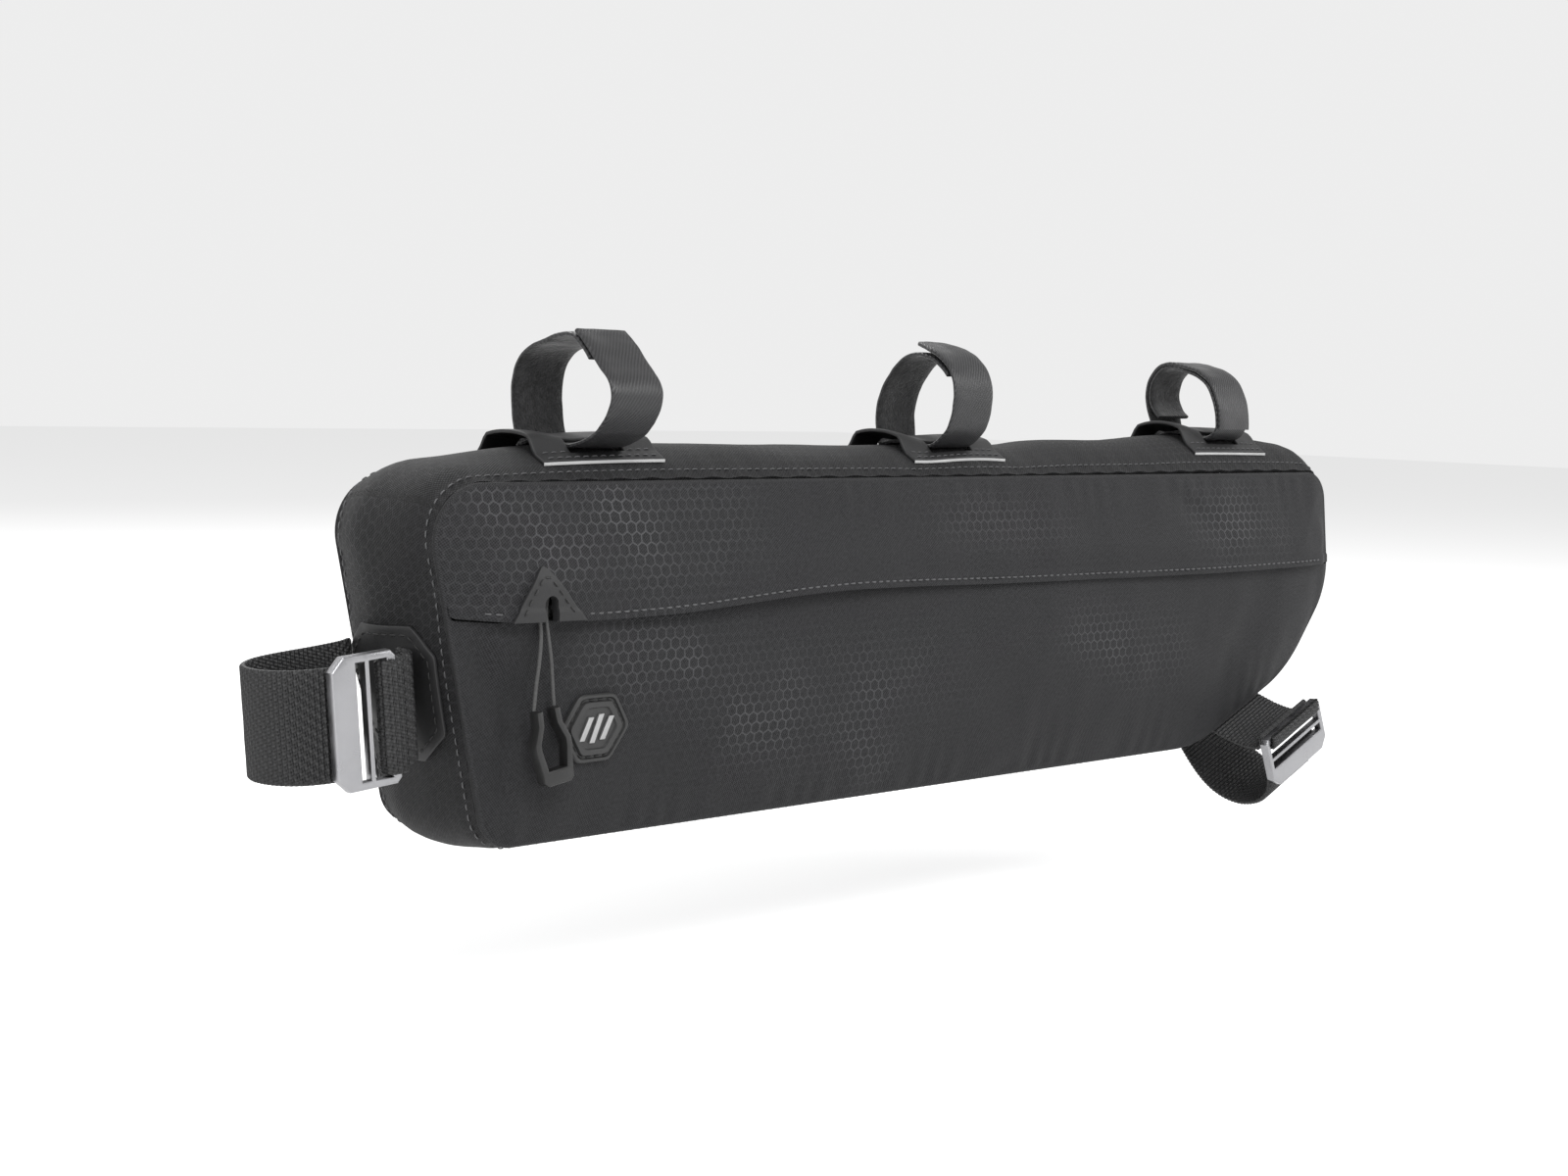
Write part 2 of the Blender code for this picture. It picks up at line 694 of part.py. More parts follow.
def lower_panel(collection):
    """The zip side below the zip. Its top edge is tucked up behind the flap, but not at its ends."""
    rear = place_at_height(on_outline(FLAP_REAR)[1] - GAP, arc_middle("rear_bottom"), arc_middle("rear_top"))
    front = place_at_height(on_outline(FLAP_FRONT)[1] - GAP, arc_middle("front_top"), arc_middle("front_lower"))
    heel, nose = arc_middle("rear_bottom"), arc_middle("front_lower")
    left = stretch(heel, rear, LOWER_ROWS)
    right = stretch(front, nose, LOWER_ROWS)[::-1]
    bottom = stretch(nose, heel, PANEL_STEPS)[::-1]
    x = np.linspace(left[-1][0], right[-1][0], PANEL_STEPS)
    ends = smooth(1.4 * FLAP_END_BLEND, 3 * FLAP_END_BLEND, np.minimum(x - x[0], x[-1] - x))
    clear = smooth(0.6 * SLIDER_SIZE[0], 1.8 * SLIDER_SIZE[0], np.abs(x - SLIDER_X))
    top = np.stack([x, flap_edge(x) - 2 * GAP * (1 - ends) + TUCK * ends * clear], axis=1)
    top[0], top[-1] = left[-1], right[-1]
    flat = coons(left, right, bottom, top)
    grid = np.stack([flat[..., 0], zip_side(flat[..., 0], flat[..., 1]), flat[..., 1]], axis=-1)
    return sheet("lower_panel", grid, PANEL_WALL, "bag_fabric", collection)


def back_panel(collection):
    """The big side away from the zip, in one piece."""
    rear, front = arc_middle("rear_top"), arc_middle("front_top")
    heel, nose = arc_middle("rear_bottom"), arc_middle("front_lower")
    left = stretch(heel, rear, BACK_ROWS)
    right = stretch(front, nose, BACK_ROWS)[::-1]
    top = stretch(rear, front, BACK_COLUMNS)
    bottom = stretch(nose, heel, BACK_COLUMNS)[::-1]
    flat = coons(left, right, bottom, top)
    out = side_bulge(flat[..., 0], flat[..., 1], BACK_SIDE_FOLDS)
    grid = np.stack([flat[..., 0], BAG_WIDTH + out, flat[..., 1]], axis=-1)
    return sheet("back_panel", grid[:, ::-1], PANEL_WALL, "bag_fabric", collection)


def gusset(collection):
    """The band over the top, down both ends and along the bottom, as one ring."""
    edge = (PANEL_WALL + GAP) / BAG_WIDTH
    across = np.linspace(edge, 1 - edge, BAND_ROWS)[:, None]
    places = arc_middle("rear_top") + np.linspace(0, LAP, BAND_STEPS, endpoint=False)[None]
    grid = band_point(places, across)
    return sheet("gusset", grid, GUSSET_WALL, "band_fabric", collection, closed=True)


def zip_tape(collection):
    """The closed zip behind the flap, as one strip that covers the slit from inside."""
    start = on_outline(FLAP_REAR)[0] + TAPE_END_GAP
    end = on_outline(FLAP_FRONT)[0] - TAPE_END_GAP
    x = np.linspace(start, end, PANEL_STEPS)[None]
    up = np.linspace(-0.15, 0.85, 4)[:, None] * TAPE_WIDTH
    z = flap_edge(x) + up
    y = zip_side(x, z) + PANEL_WALL + TAPE_DEPTH
    grid = np.stack([np.broadcast_to(x, z.shape), y, z], axis=-1)
    return sheet("zip_tape", grid, TAPE_THICKNESS, "zip_tape", collection)


def garage_shape():
    """The garage's outline as rows (height, left, right), a triangle with a rounded apex."""
    rows = []
    for t in np.linspace(0, 1, 7):
        half = GARAGE_WIDTH / 2 * (1 - t) ** 0.85 + 0.0016 * math.sqrt(max(0.0, 1 - t))
        rows.append((t * GARAGE_HEIGHT, -half, half))
    height, _, _ = rows[-1]
    rows[-1] = (height, -0.0012, 0.0012)
    return rows


def zip_garage(collection):
    """The pointed patch on the flap over the slider."""
    grid = []
    edge = flap_edge(np.array([SLIDER_X]))[0] + GAP
    for height, left, right in garage_shape():
        x = SLIDER_X - GARAGE_LEAN * height / GARAGE_HEIGHT + np.linspace(left, right, 7)
        z = np.full(7, edge + height)
        y = flap_side(x, z) - GAP - GARAGE_THICKNESS
        grid.append(np.stack([x, y, z], axis=1))
    return sheet("zip_garage", np.array(grid), GARAGE_THICKNESS, "coated_patch", collection)


def notch_cutter(collection):
    """The slot with a round top through the flap and the garage."""
    low, top = -0.004, NOTCH_HEIGHT - NOTCH_WIDTH / 2
    outline = [(-NOTCH_WIDTH / 2, low), (NOTCH_WIDTH / 2, low)]
    for k in range(9):
        angle = math.pi * k / 8
        outline.append((NOTCH_WIDTH / 2 * math.cos(angle), top + NOTCH_WIDTH / 2 * math.sin(angle)))
    cutter = as_mesh(prism("notch_cutter", outline, 6 * FLAP_LIFT, None, collection))
    z = flap_edge(np.array([SLIDER_X]))[0]
    cutter.location = placed((SLIDER_X, flap_side(np.array([SLIDER_X]), np.array([z]))[0], z))
    cutter.hide_render = True
    cutter.display_type = "WIRE"
    return cutter


def slider_place():
    """The middle of the cord's turn round the slider's post: x, z and the zip side's y there."""
    z = flap_edge(np.array([SLIDER_X]))[0] + NOTCH_HEIGHT + CORD_BEND
    return SLIDER_X, z, zip_side(np.array([SLIDER_X]), np.array([z]))[0]


def zip_slider(collection):
    """The slider as one plain plate with a post, hidden behind the flap."""
    x, z, y = slider_place()
    width, thick, height = SLIDER_SIZE
    back = y + PANEL_WALL + SLIDER_DEPTH
    mesh = bmesh.new()
    bmesh.ops.create_cube(mesh, size=1)
    bmesh.ops.scale(mesh, vec=(width, thick, height), verts=mesh.verts)
    data = bpy.data.meshes.new("zip_slider")
    mesh.to_mesh(data)
    mesh.free()
    plate = add_object("zip_slider", data, "slider_metal", collection)
    plate.location = placed((x, back - thick / 2, z))
    post_length = CORD_DIAMETER + GAP
    bpy.ops.mesh.primitive_cylinder_add(
        vertices=12,
        radius=POST_RADIUS,
        depth=2 * post_length,
        location=placed((x, back - thick, z)),
        rotation=(math.pi / 2, 0, 0),
    )
    post = bpy.context.object
    post.name = "slider_post"
    for owner in list(post.users_collection):
        owner.objects.unlink(post)
    bpy.data.collections["cutters"].objects.link(post)
    post.hide_render = True
    post.display_type = "WIRE"
    join = plate.modifiers.new("Post", "BOOLEAN")
    join.operation = "UNION"
    join.object = post
    return plate


def pull_top():
    """The height of the puller's leg tops, and the most that the zip side stands out behind them."""
    z = flap_edge(np.array([SLIDER_X]))[0] - CORD_DROP
    x = SLIDER_X + np.linspace(-PULL_WIDTH / 2, PULL_WIDTH / 2, 5)
    return z, zip_side(x, np.full(5, z)).min()


def pull_cord(collection):
    """A thin cord from one leg of the puller up round the slider's post and down to the other leg."""
    x, z, y = slider_place()
    edge = flap_edge(np.array([SLIDER_X]))[0]
    foot, foot_y = pull_top()
    leg = 0.55 * PULL_WIDTH / 2
    deep = y + PANEL_WALL + SLIDER_DEPTH - SLIDER_SIZE[1] - GAP - CORD_DIAMETER / 2
    proud = zip_side(np.array([SLIDER_X]), np.array([edge]))[0] - GAP - CORD_DIAMETER / 2
    half = [
        (leg, foot_y - PULL_DEPTH / 2 - GAP, foot + GAP),
        (0.85 * leg, 0.5 * (foot_y - PULL_DEPTH / 2) + 0.5 * proud - 0.0006, foot + 0.25 * (edge - foot)),
        (0.60 * leg, proud - 0.0016, foot + 0.55 * (edge - foot)),
        (0.36 * leg, proud - 0.0011, foot + 0.82 * (edge - foot)),
        (0.32 * leg, proud - 0.0004, edge - 0.0010),
        (0.34 * leg, 0.3 * proud + 0.7 * deep, edge + 0.35 * NOTCH_HEIGHT),
        (0.40 * leg, deep, edge + 0.60 * NOTCH_HEIGHT),
        (0.48 * leg, deep, edge + 0.85 * NOTCH_HEIGHT),
    ]
    route = [(-side, y, z) for side, y, z in half]
    for k in range(7):
        angle = math.radians(195 - 35 * k)
        route.append((CORD_BEND * math.cos(angle), deep, z + CORD_BEND * math.sin(angle)))
    route += [(side, y, z) for side, y, z in half[::-1]]
    route = np.array(route) + np.array([x, 0, 0])
    tilt = leg * math.sin(math.radians(PULL_TILT))
    route[0, 2] -= tilt
    route[-1, 2] += tilt
    curve = bpy.data.curves.new("pull_cord", "CURVE")
    curve.dimensions = "3D"
    curve.bevel_depth = CORD_DIAMETER / 2
    curve.bevel_resolution = 2
    curve.use_fill_caps = True
    run = curve.splines.new("POLY")
    points = placed(evenly(route, 56))
    run.points.add(len(points) - 1)
    for point, place in zip(run.points, points):
        point.co = (*place, 1)
    return add_object("pull_cord", curve, "cord", collection)


def zip_pull(collection):
    """The moulded puller: two legs that open to a waist and close in a block."""
    legs = (
        # down as a share of PULL_HEIGHT, half width as a share of PULL_WIDTH / 2
        (0.00, 0.70),
        (0.20, 0.74),
        (0.46, 1.00),
        (0.86, 0.80),
        (1.00, 0.62),
    )
    outer = [(share * PULL_WIDTH / 2, -down * PULL_HEIGHT) for down, share in legs]
    inner = [(x - PULL_LEG, z) for x, z in outer[:3]]
    inner.append((outer[3][0] - PULL_LEG, -0.84 * PULL_HEIGHT))
    loop = outer + [(-x, z) for x, z in outer[::-1]]
    loop += [(-x, z) for x, z in inner] + [(x, z) for x, z in inner[::-1]]
    pull = prism("zip_pull", loop, PULL_DEPTH, "moulding", collection)
    foot, y = pull_top()
    lean = math.asin(PULL_LEAN / PULL_HEIGHT)
    pull.rotation_euler = (math.pi / 2 - lean, -math.radians(PULL_TILT), 0)
    pull.location = placed((SLIDER_X, y - PULL_DEPTH / 2 - SOFT_GAP, foot))
    return pull


def badge(collection):
    """A plain moulded rubber badge of six sides, with a smaller silver inlay on it."""
    rows = (
        # up as a share of half its height, half width as a share of half its width
        (-1.0, 0.50),
        (-0.5, 0.77),
        (0.0, 1.0),
        (0.5, 0.77),
        (1.0, 0.50),
    )
    layers = (
        # name, size as a share of the badge's, lift off the panel, thickness, finish
        ("badge", 1.0, GAP, BADGE_THICKNESS, "rubber"),
        ("badge_inlay", INLAY_SHARE, 2 * GAP + BADGE_THICKNESS, INLAY_THICKNESS, "inlay"),
    )
    for name, size, lift, thickness, material in layers:
        grid = []
        for up, half in rows:
            x = REAR_X + BADGE_FROM_REAR + np.linspace(-1, 1, 7) * half * size * BADGE_WIDTH / 2
            z = np.full(7, -BADGE_DROP + up * size * BADGE_HEIGHT / 2)
            grid.append(np.stack([x, zip_side(x, z) - lift - thickness, z], axis=1))
        sheet(name, np.array(grid), thickness, material, collection)


def slots():
    """The two slots' places across the bag."""
    front = ANCHOR_INSET + ANCHOR_BAND + STRAP_THICKNESS / 2 + SLOT_CLEARANCE
    return front, BAG_WIDTH - front


def strap_route(rows, x):
    """A top strap's middle line as points (y, z) in the bag's frame."""
    front, back = slots()
    turns_down = rows[-1][0] < rows[0][0]
    route = []
    for turn, reach, layer in rows:
        if turn == "tunnel":
            across = np.linspace(front, back, 5)
            across = across if turns_down else across[::-1]
            route += [(y, top_height(x, y) + STRAP_REST) for y in across]
            continue
        radius = reach * LOOP_RADIUS + layer * (STRAP_THICKNESS + GAP)
        angle = math.radians(turn)
        route.append((FRONT_TO_AXIS - radius * math.cos(angle), AXIS_ABOVE_SEAM + radius * math.sin(angle)))
    return evenly(route, LOOP_STEPS)


def top_strap(name, rows, x, collection):
    """One hook-and-loop strap, looped round the tube with its tail laid on itself."""
    grid = []
    for edge in x + np.array([-0.5, 0, 0.5]) * STRAP_WIDTH:
        grid.append([(edge, y, z) for y, z in strap_route(rows, edge)])
    return sheet(name, np.array(grid), STRAP_THICKNESS, "strap_tape", collection, centred=True)


def strap_anchor(name, x, collection):
    """The coated patch over a strap, sewn along both long edges, with a slot for the strap at each side."""
    front, back = slots()
    half = STRAP_WIDTH / 2 + 2 * GAP
    tight = STRAP_THICKNESS / 2 + SLOT_CLEARANCE
    along = x + np.array([-ANCHOR_LENGTH / 2, -half - 0.003, -half, 0, half, half + 0.003, ANCHOR_LENGTH / 2])
    raised = np.linspace(front + tight, back - tight, 5)
    edges = [ANCHOR_INSET, front - tight], [back + tight, BAG_WIDTH - ANCHOR_INSET]
    across = np.concatenate([edges[0], raised, edges[1]])
    rise = smooth(front - tight, front + tight, across) * smooth(front - tight, front + tight, BAG_WIDTH - across)
    above = SOFT_GAP + ANCHOR_THICKNESS + rise * (STRAP_THICKNESS + GAP)
    grid = []
    for place in along:
        height = top_height(np.full(len(across), place), across) + above
        grid.append(np.stack([np.full(len(across), place), across, height], axis=1))

    def in_slot(row, column):
        return row in (2, 3) and column in (1, 6)

    return sheet(name, np.array(grid)[::-1], ANCHOR_THICKNESS, "coated_patch", collection, skip=in_slot)


def rear_end(down):
    """The distance round the outline of a point of the rear end, measured down it from the top seam."""
    return arc_middle("rear_top") - down


def rear_anchor_patch(collection):
    """The eight-sided coated patch on the rear end, which holds the seat tube webbing."""
    half_width = BAG_WIDTH / 2 - REAR_PATCH_INSET
    rows = (
        # height as a share of half the patch, half width as a share of half its width
        (-1.0, 0.52),
        (-0.58, 1.0),
        (-0.2, 1.0),
        (0.2, 1.0),
        (0.58, 1.0),
        (1.0, 0.52),
    )
    grid = []
    for up, share in rows:
        across = 0.5 + np.linspace(-1, 1, 7) * share * half_width / BAG_WIDTH
        place = rear_end(REAR_PATCH_DROP - up * REAR_PATCH_HEIGHT / 2)
        grid.append(band_point(place, across, SOFT_GAP + REAR_PATCH_THICKNESS))
    return sheet("rear_anchor_patch", np.array(grid)[::-1], REAR_PATCH_THICKNESS, "coated_patch", collection)


def webbing(name, route, axis, steps, collection):
    """Webbing along a route of points, its width along an axis."""
    line = evenly(route, steps)
    grid = np.array([line + side * axis * WEBBING_WIDTH for side in (-0.5, 0, 0.5)])
    return sheet(name, grid, WEBBING_THICKNESS, "webbing", collection, centred=True)


def seat_frame():
    """The seat tube webbing's frame: its foot on the rear end, the way out of the bag and the way down."""
    foot = band_point(rear_end(REAR_PATCH_DROP + SEAT_STRAP_BELOW), 0.5) * np.array([1, 0, 1])
    slant = math.radians(SEAT_STRAP_SLANT)
    out = np.array([-math.cos(slant), 0, -math.sin(slant)])
    return foot, out, np.array([-out[2], 0, out[0]])


def down_frame():
    """The down tube webbing's frame: its foot on the sloping edge, the way out and the way along it."""
    place = 0.5 * (arc_middle("front_lower") + arc_middle("front_bottom"))
    base, out = on_outline(place), outward(place)
    return np.array([base[0], 0, base[1]]), np.array([out[0], 0, out[1]]), np.array([-out[1], 0, out[0]])


def seat_point(out, across):
    """A point of the seat tube webbing's middle line, as distances out and across."""
    return np.array([out * SEAT_LOOP_REACH, across * BAG_WIDTH])


def down_point(out, swing, across):
    """The same for the down tube webbing."""
    return np.array([out * DOWN_LOOP_REACH, across * BAG_WIDTH - swing * DOWN_LOOP_SWING])


def hook_buckle(name, middle, out, axis, collection):
    """A flat metal buckle with chamfered corners and two slots, its middle at (out, across)."""
    half, tall = BUCKLE_LENGTH / 2, WEBBING_WIDTH / 2 + BUCKLE_RAIL
    far, near = BUCKLE_CHAMFER, 0.4 * BUCKLE_CHAMFER
    side = [(half, tall - far), (half - far, tall), (-half + near, tall), (-half, tall - near)]
    outline = side + [(x, -z) for x, z in side[::-1]]
    slot_height = WEBBING_WIDTH / 2 + 2 * GAP
    holes = []
    slot = -half + BUCKLE_TAB_BAR
    window = slot + BUCKLE_SLOT + BUCKLE_HOOK_BAR
    for start, end in ((slot, slot + BUCKLE_SLOT), (window, window + BUCKLE_WINDOW)):
        holes.append([(start, slot_height), (start, -slot_height), (end, -slot_height), (end, slot_height)])
    frame = as_mesh(prism(name, outline, BUCKLE_THICKNESS, "buckle_metal", collection, holes))
    turn = np.eye(4)
    turn[:3, 0], turn[:3, 1], turn[:3, 2] = out[1], axis, np.cross(out[1], axis)
    turn[:3, 3] = placed(out[0] + out[1] * middle[0] + np.array([0, middle[1], 0]))
    frame.matrix_world = turn.T.tolist()
    bevel = frame.modifiers.new("Edges", "BEVEL")
    bevel.width = BUCKLE_EDGE
    bevel.segments = 1
    bevel.limit_method = "ANGLE"
    return frame


def buckled_webbing(name, rows, tab_rows, frame, point, collection):
    """A webbing loop, its buckle, and the short tab that holds the buckle to the bag."""
    foot, out, axis = frame()
    loop = [point(*row) for row in rows]
    stack = WEBBING_THICKNESS / 2 + GAP + BUCKLE_THICKNESS / 2
    middle = loop[0] + np.array([-BUCKLE_OVERLAP, -stack])
    bar = middle - np.array([BUCKLE_LENGTH / 2 - BUCKLE_TAB_BAR / 2, 0])
    tab = [point(*row) for row in tab_rows]
    tab += [bar + stack * np.array([ahead, inward]) for ahead, inward in TAB_WRAP]
    for piece, route, steps in (("strap", loop, WEBBING_STEPS), ("tab", tab, TAB_STEPS)):
        points = [foot + out * ahead + np.array([0, across, 0]) for ahead, across in route]
        webbing(f"{name}_{piece}", points, axis, steps, collection)
    hook_buckle(name + "_buckle", middle, (foot, out), axis, collection)


def main():
    for obj in list(bpy.data.objects):
        bpy.data.objects.remove(obj)
    bag = bpy.data.collections.new("frame_bag")
    cutters = bpy.data.collections.new("cutters")
    for collection in (bag, cutters):
        bpy.context.scene.collection.children.link(collection)
    notch = notch_cutter(cutters)
    cut(upper_panel(bag), notch)
    cut(zip_garage(bag), notch)
    lower_panel(bag)
    back_panel(bag)
    gusset(bag)
    zip_tape(bag)
    zip_slider(bag)
    pull_cord(bag)
    zip_pull(bag)
    badge(bag)
    loops = (
        ("rear", REAR_LOOP, -STRAP_SPACING),
        ("middle", MIDDLE_LOOP, 0.0),
        ("front", FRONT_LOOP, STRAP_SPACING),
    )
    for name, rows, x in loops:
        top_strap("top_strap_" + name, rows, x, bag)
        strap_anchor("strap_anchor_" + name, x, bag)
    rear_anchor_patch(bag)
    buckled_webbing("seat_tube", SEAT_STRAP, SEAT_TAB, seat_frame, seat_point, bag)
    buckled_webbing("down_tube", DOWN_STRAP, DOWN_TAB, down_frame, down_point, bag)


main()
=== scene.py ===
"""The looks of a half-frame bag for a bicycle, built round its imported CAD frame.

Metres, in the part's own frame: +X to the bicycle's front, -Y the zip side, +Z up, origin on the
top tube's axis in the middle strap. All cloth is shaped by functions, with its folds from tables."""

import math

import bmesh
import bpy
import numpy as np
from mathutils import Matrix, Vector, noise


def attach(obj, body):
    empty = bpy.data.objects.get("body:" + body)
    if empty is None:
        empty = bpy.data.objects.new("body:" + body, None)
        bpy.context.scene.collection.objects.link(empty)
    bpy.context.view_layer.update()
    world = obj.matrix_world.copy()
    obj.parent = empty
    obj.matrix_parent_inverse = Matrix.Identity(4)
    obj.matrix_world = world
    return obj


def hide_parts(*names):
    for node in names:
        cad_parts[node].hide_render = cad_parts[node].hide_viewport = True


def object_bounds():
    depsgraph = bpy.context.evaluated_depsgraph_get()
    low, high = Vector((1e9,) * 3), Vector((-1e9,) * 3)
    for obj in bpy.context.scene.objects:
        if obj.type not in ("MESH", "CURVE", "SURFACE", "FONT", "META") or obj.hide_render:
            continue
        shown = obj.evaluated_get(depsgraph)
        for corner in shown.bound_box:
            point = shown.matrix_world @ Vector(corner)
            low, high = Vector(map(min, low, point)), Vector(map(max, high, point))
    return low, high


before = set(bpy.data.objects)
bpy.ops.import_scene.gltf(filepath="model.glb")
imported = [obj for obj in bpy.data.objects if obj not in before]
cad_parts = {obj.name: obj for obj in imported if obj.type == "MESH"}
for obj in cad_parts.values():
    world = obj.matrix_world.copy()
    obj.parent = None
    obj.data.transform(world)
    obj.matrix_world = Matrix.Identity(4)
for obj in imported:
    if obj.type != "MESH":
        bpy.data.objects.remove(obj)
CAD_BOUNDS = [list(corner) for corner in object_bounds()]


# Bag shell
BAG_LENGTH = 0.4635  # rear top corner to nose
BAG_HEIGHT = 0.1075  # top seam to bottom seam
BAG_WIDTH = 0.052  # seam to seam
PANEL_WALL = 0.002
GUSSET_WALL = 0.0018
PANEL_BULGE = 0.006  # how far each big side stands out of its seams
BULGE_REACH = 0.045  # distance from the seam over which it rises
TOP_CROWN = 0.012
BOTTOM_CROWN = 0.004
REAR_CROWN = 0.005
FRONT_CROWN = 0.006
GAP = 0.0003  # between pieces that touch
SOFT_GAP = 0.0007  # between curved cloth pieces, which are divided into flat facets

# Zip, flap and what hangs there
FLAP_LIFT = 0.0029  # how far the flap's edge stands off the panel below it
FLAP_BLEND = 0.022  # height over which the lift dies out
FLAP_END_BLEND = 0.010  # the same towards both ends
TUCK = 0.005  # how far the lower panel reaches up behind the flap
TAPE_WIDTH = 0.024
TAPE_THICKNESS = 0.001
TAPE_DEPTH = 0.0015  # behind the panels
TAPE_END_GAP = 0.006
SLIDER_FROM_REAR = 0.0375
SLIDER_SIZE = (0.009, 0.0011, 0.012)
SLIDER_DEPTH = 0.0006  # behind the panel's inner face
POST_RADIUS = 0.0015
GARAGE_WIDTH = 0.0255
GARAGE_HEIGHT = 0.0165
GARAGE_THICKNESS = 0.0012
GARAGE_LEAN = 0.0026  # how far its tip leans to the rear
NOTCH_WIDTH = 0.005
NOTCH_HEIGHT = 0.008
CORD_DIAMETER = 0.0012
CORD_BEND = 0.0024
CORD_DROP = 0.026  # from the flap's edge to the puller
PULL_HEIGHT = 0.0225
PULL_WIDTH = 0.0135
PULL_DEPTH = 0.0044
PULL_LEG = 0.0020
PULL_TILT = 9  # degrees that it hangs off upright
PULL_LEAN = 0.002  # how far the puller's foot stands out more than its legs
BADGE_FROM_REAR = 0.0585
BADGE_DROP = 0.0735
BADGE_WIDTH = 0.027
BADGE_HEIGHT = 0.021

# Hook-and-loop straps round the top tube
LOOP_RADIUS = 0.020
LOOP_LEAN = 0.0045  # the loops lean this far to the zip side
REAR_STRAP_INSET = 0.0715
FRONT_STRAP_INSET = 0.064
STRAP_WIDTH = 0.020
STRAP_THICKNESS = 0.0014
ANCHOR_LENGTH = 0.048
ANCHOR_THICKNESS = 0.0012
ANCHOR_INSET = 0.007  # from each seam
ANCHOR_BAND = 0.0040  # sewn flat along each long edge
SLOT_CLEARANCE = 0.0016

# Webbing, its tabs and its buckles
WEBBING_WIDTH = 0.033
WEBBING_THICKNESS = 0.0016
BUCKLE_LENGTH = 0.0215
BUCKLE_THICKNESS = 0.0036
BUCKLE_RAIL = 0.0030
BUCKLE_SLOT = 0.0058  # for the tab
BUCKLE_WINDOW = 0.0030  # for the loop's hook
BUCKLE_TAB_BAR = 0.0030
BUCKLE_HOOK_BAR = 0.0016
BUCKLE_CHAMFER = 0.004
BUCKLE_OVERLAP = 0.0015  # how far the loop's end reaches past the buckle's middle
REAR_PATCH_DROP = 0.057  # its middle, measured down the rear end
REAR_PATCH_HEIGHT = 0.041
REAR_PATCH_INSET = 0.006
REAR_PATCH_THICKNESS = 0.0012
SEAT_STRAP_BELOW = 0.002  # its middle below the patch's
SEAT_STRAP_SLANT = 5  # degrees that it hangs below level
SEAT_LOOP_REACH = 0.050  # how far the webbing stands out of the rear end
DOWN_LOOP_REACH = 0.037
DOWN_LOOP_SWING = 0.020  # how far that loop swings out past the zip side

# Where the origin lies in the bag's own terms
FRONT_TO_AXIS = BAG_WIDTH / 2 - LOOP_LEAN
STRAP_REST = SOFT_GAP + STRAP_THICKNESS / 2  # a strap's middle above the band that it lies on
AXIS_ABOVE_SEAM = 0.95 * TOP_CROWN + STRAP_REST + 0.83 * LOOP_RADIUS
STRAP_SPACING = (BAG_LENGTH - REAR_STRAP_INSET - FRONT_STRAP_INSET) / 2
REAR_X = -STRAP_SPACING - REAR_STRAP_INSET

# Corners of the big sides. along is a share of BAG_LENGTH, down and radius are shares of BAG_HEIGHT
OUTLINE = (
    # name, along, down, radius
    ("rear_top", 0.000, 0.000, 0.149),
    ("front_top", 0.985, 0.000, 0.112),
    ("nose", 1.000, 0.437, 0.279),
    ("front_lower", 0.940, 0.753, 0.558),
    ("front_bottom", 0.806, 1.000, 0.558),
    ("rear_bottom", 0.050, 1.000, 0.112),
)

# The flap's free edge. along is a share of BAG_LENGTH, down is a share of BAG_HEIGHT
FLAP_EDGE = (
    # along, down
    (0.000, 0.350),
    (0.060, 0.369),
    (0.120, 0.374),
    (0.200, 0.367),
    (0.255, 0.352),
    (0.310, 0.338),
    (0.360, 0.332),
    (0.420, 0.334),
    (0.520, 0.343),
    (0.640, 0.348),
    (0.770, 0.352),
    (1.000, 0.345),
)

# The top band's height along the bag. crown is a share of TOP_CROWN
TOP_SAG = (
    # along, crown
    (0.00, 0.45),
    (0.05, 0.64),
    (0.10, 0.82),
    (0.15, 0.93),
    (0.30, 0.95),
    (0.44, 0.92),
    (0.51, 0.96),
    (0.58, 0.97),
    (0.64, 1.06),
    (0.72, 1.10),
    (0.79, 1.24),
    (0.87, 1.24),
    (0.94, 1.15),
    (1.00, 0.90),
)

# Folds of the big sides, as valleys or ridges between two places. along is a share of BAG_LENGTH,
# down and reach are shares of BAG_HEIGHT, depth is a share of PANEL_BULGE and positive inwards
ZIP_SIDE_FOLDS = (
    # along from, down from, along to, down to, reach, depth
    (0.022, 0.41, 0.076, 0.66, 0.060, 0.50),
    (0.092, 0.42, 0.068, 0.64, 0.060, 0.42),
    (0.035, 0.72, 0.074, 0.86, 0.055, 0.30),
    (0.760, 0.05, 0.815, 0.22, 0.065, 0.34),
    (0.885, 0.44, 0.810, 0.88, 0.110, 0.34),
    (0.030, 0.24, 0.200, 0.09, 0.150, -0.30),
    (0.125, 0.44, 0.390, 0.80, 0.150, -0.30),
    (0.560, 0.55, 0.760, 0.70, 0.190, -0.22),
    (0.130, 0.70, 0.230, 0.93, 0.120, 0.22),
    (0.330, 0.12, 0.560, 0.24, 0.120, 0.16),
)
BACK_SIDE_FOLDS = (
    (0.060, 0.30, 0.240, 0.60, 0.120, 0.30),
    (0.300, 0.55, 0.600, 0.50, 0.260, -0.25),
    (0.700, 0.20, 0.800, 0.62, 0.120, 0.28),
    (0.400, 0.86, 0.620, 0.80, 0.100, 0.20),
)

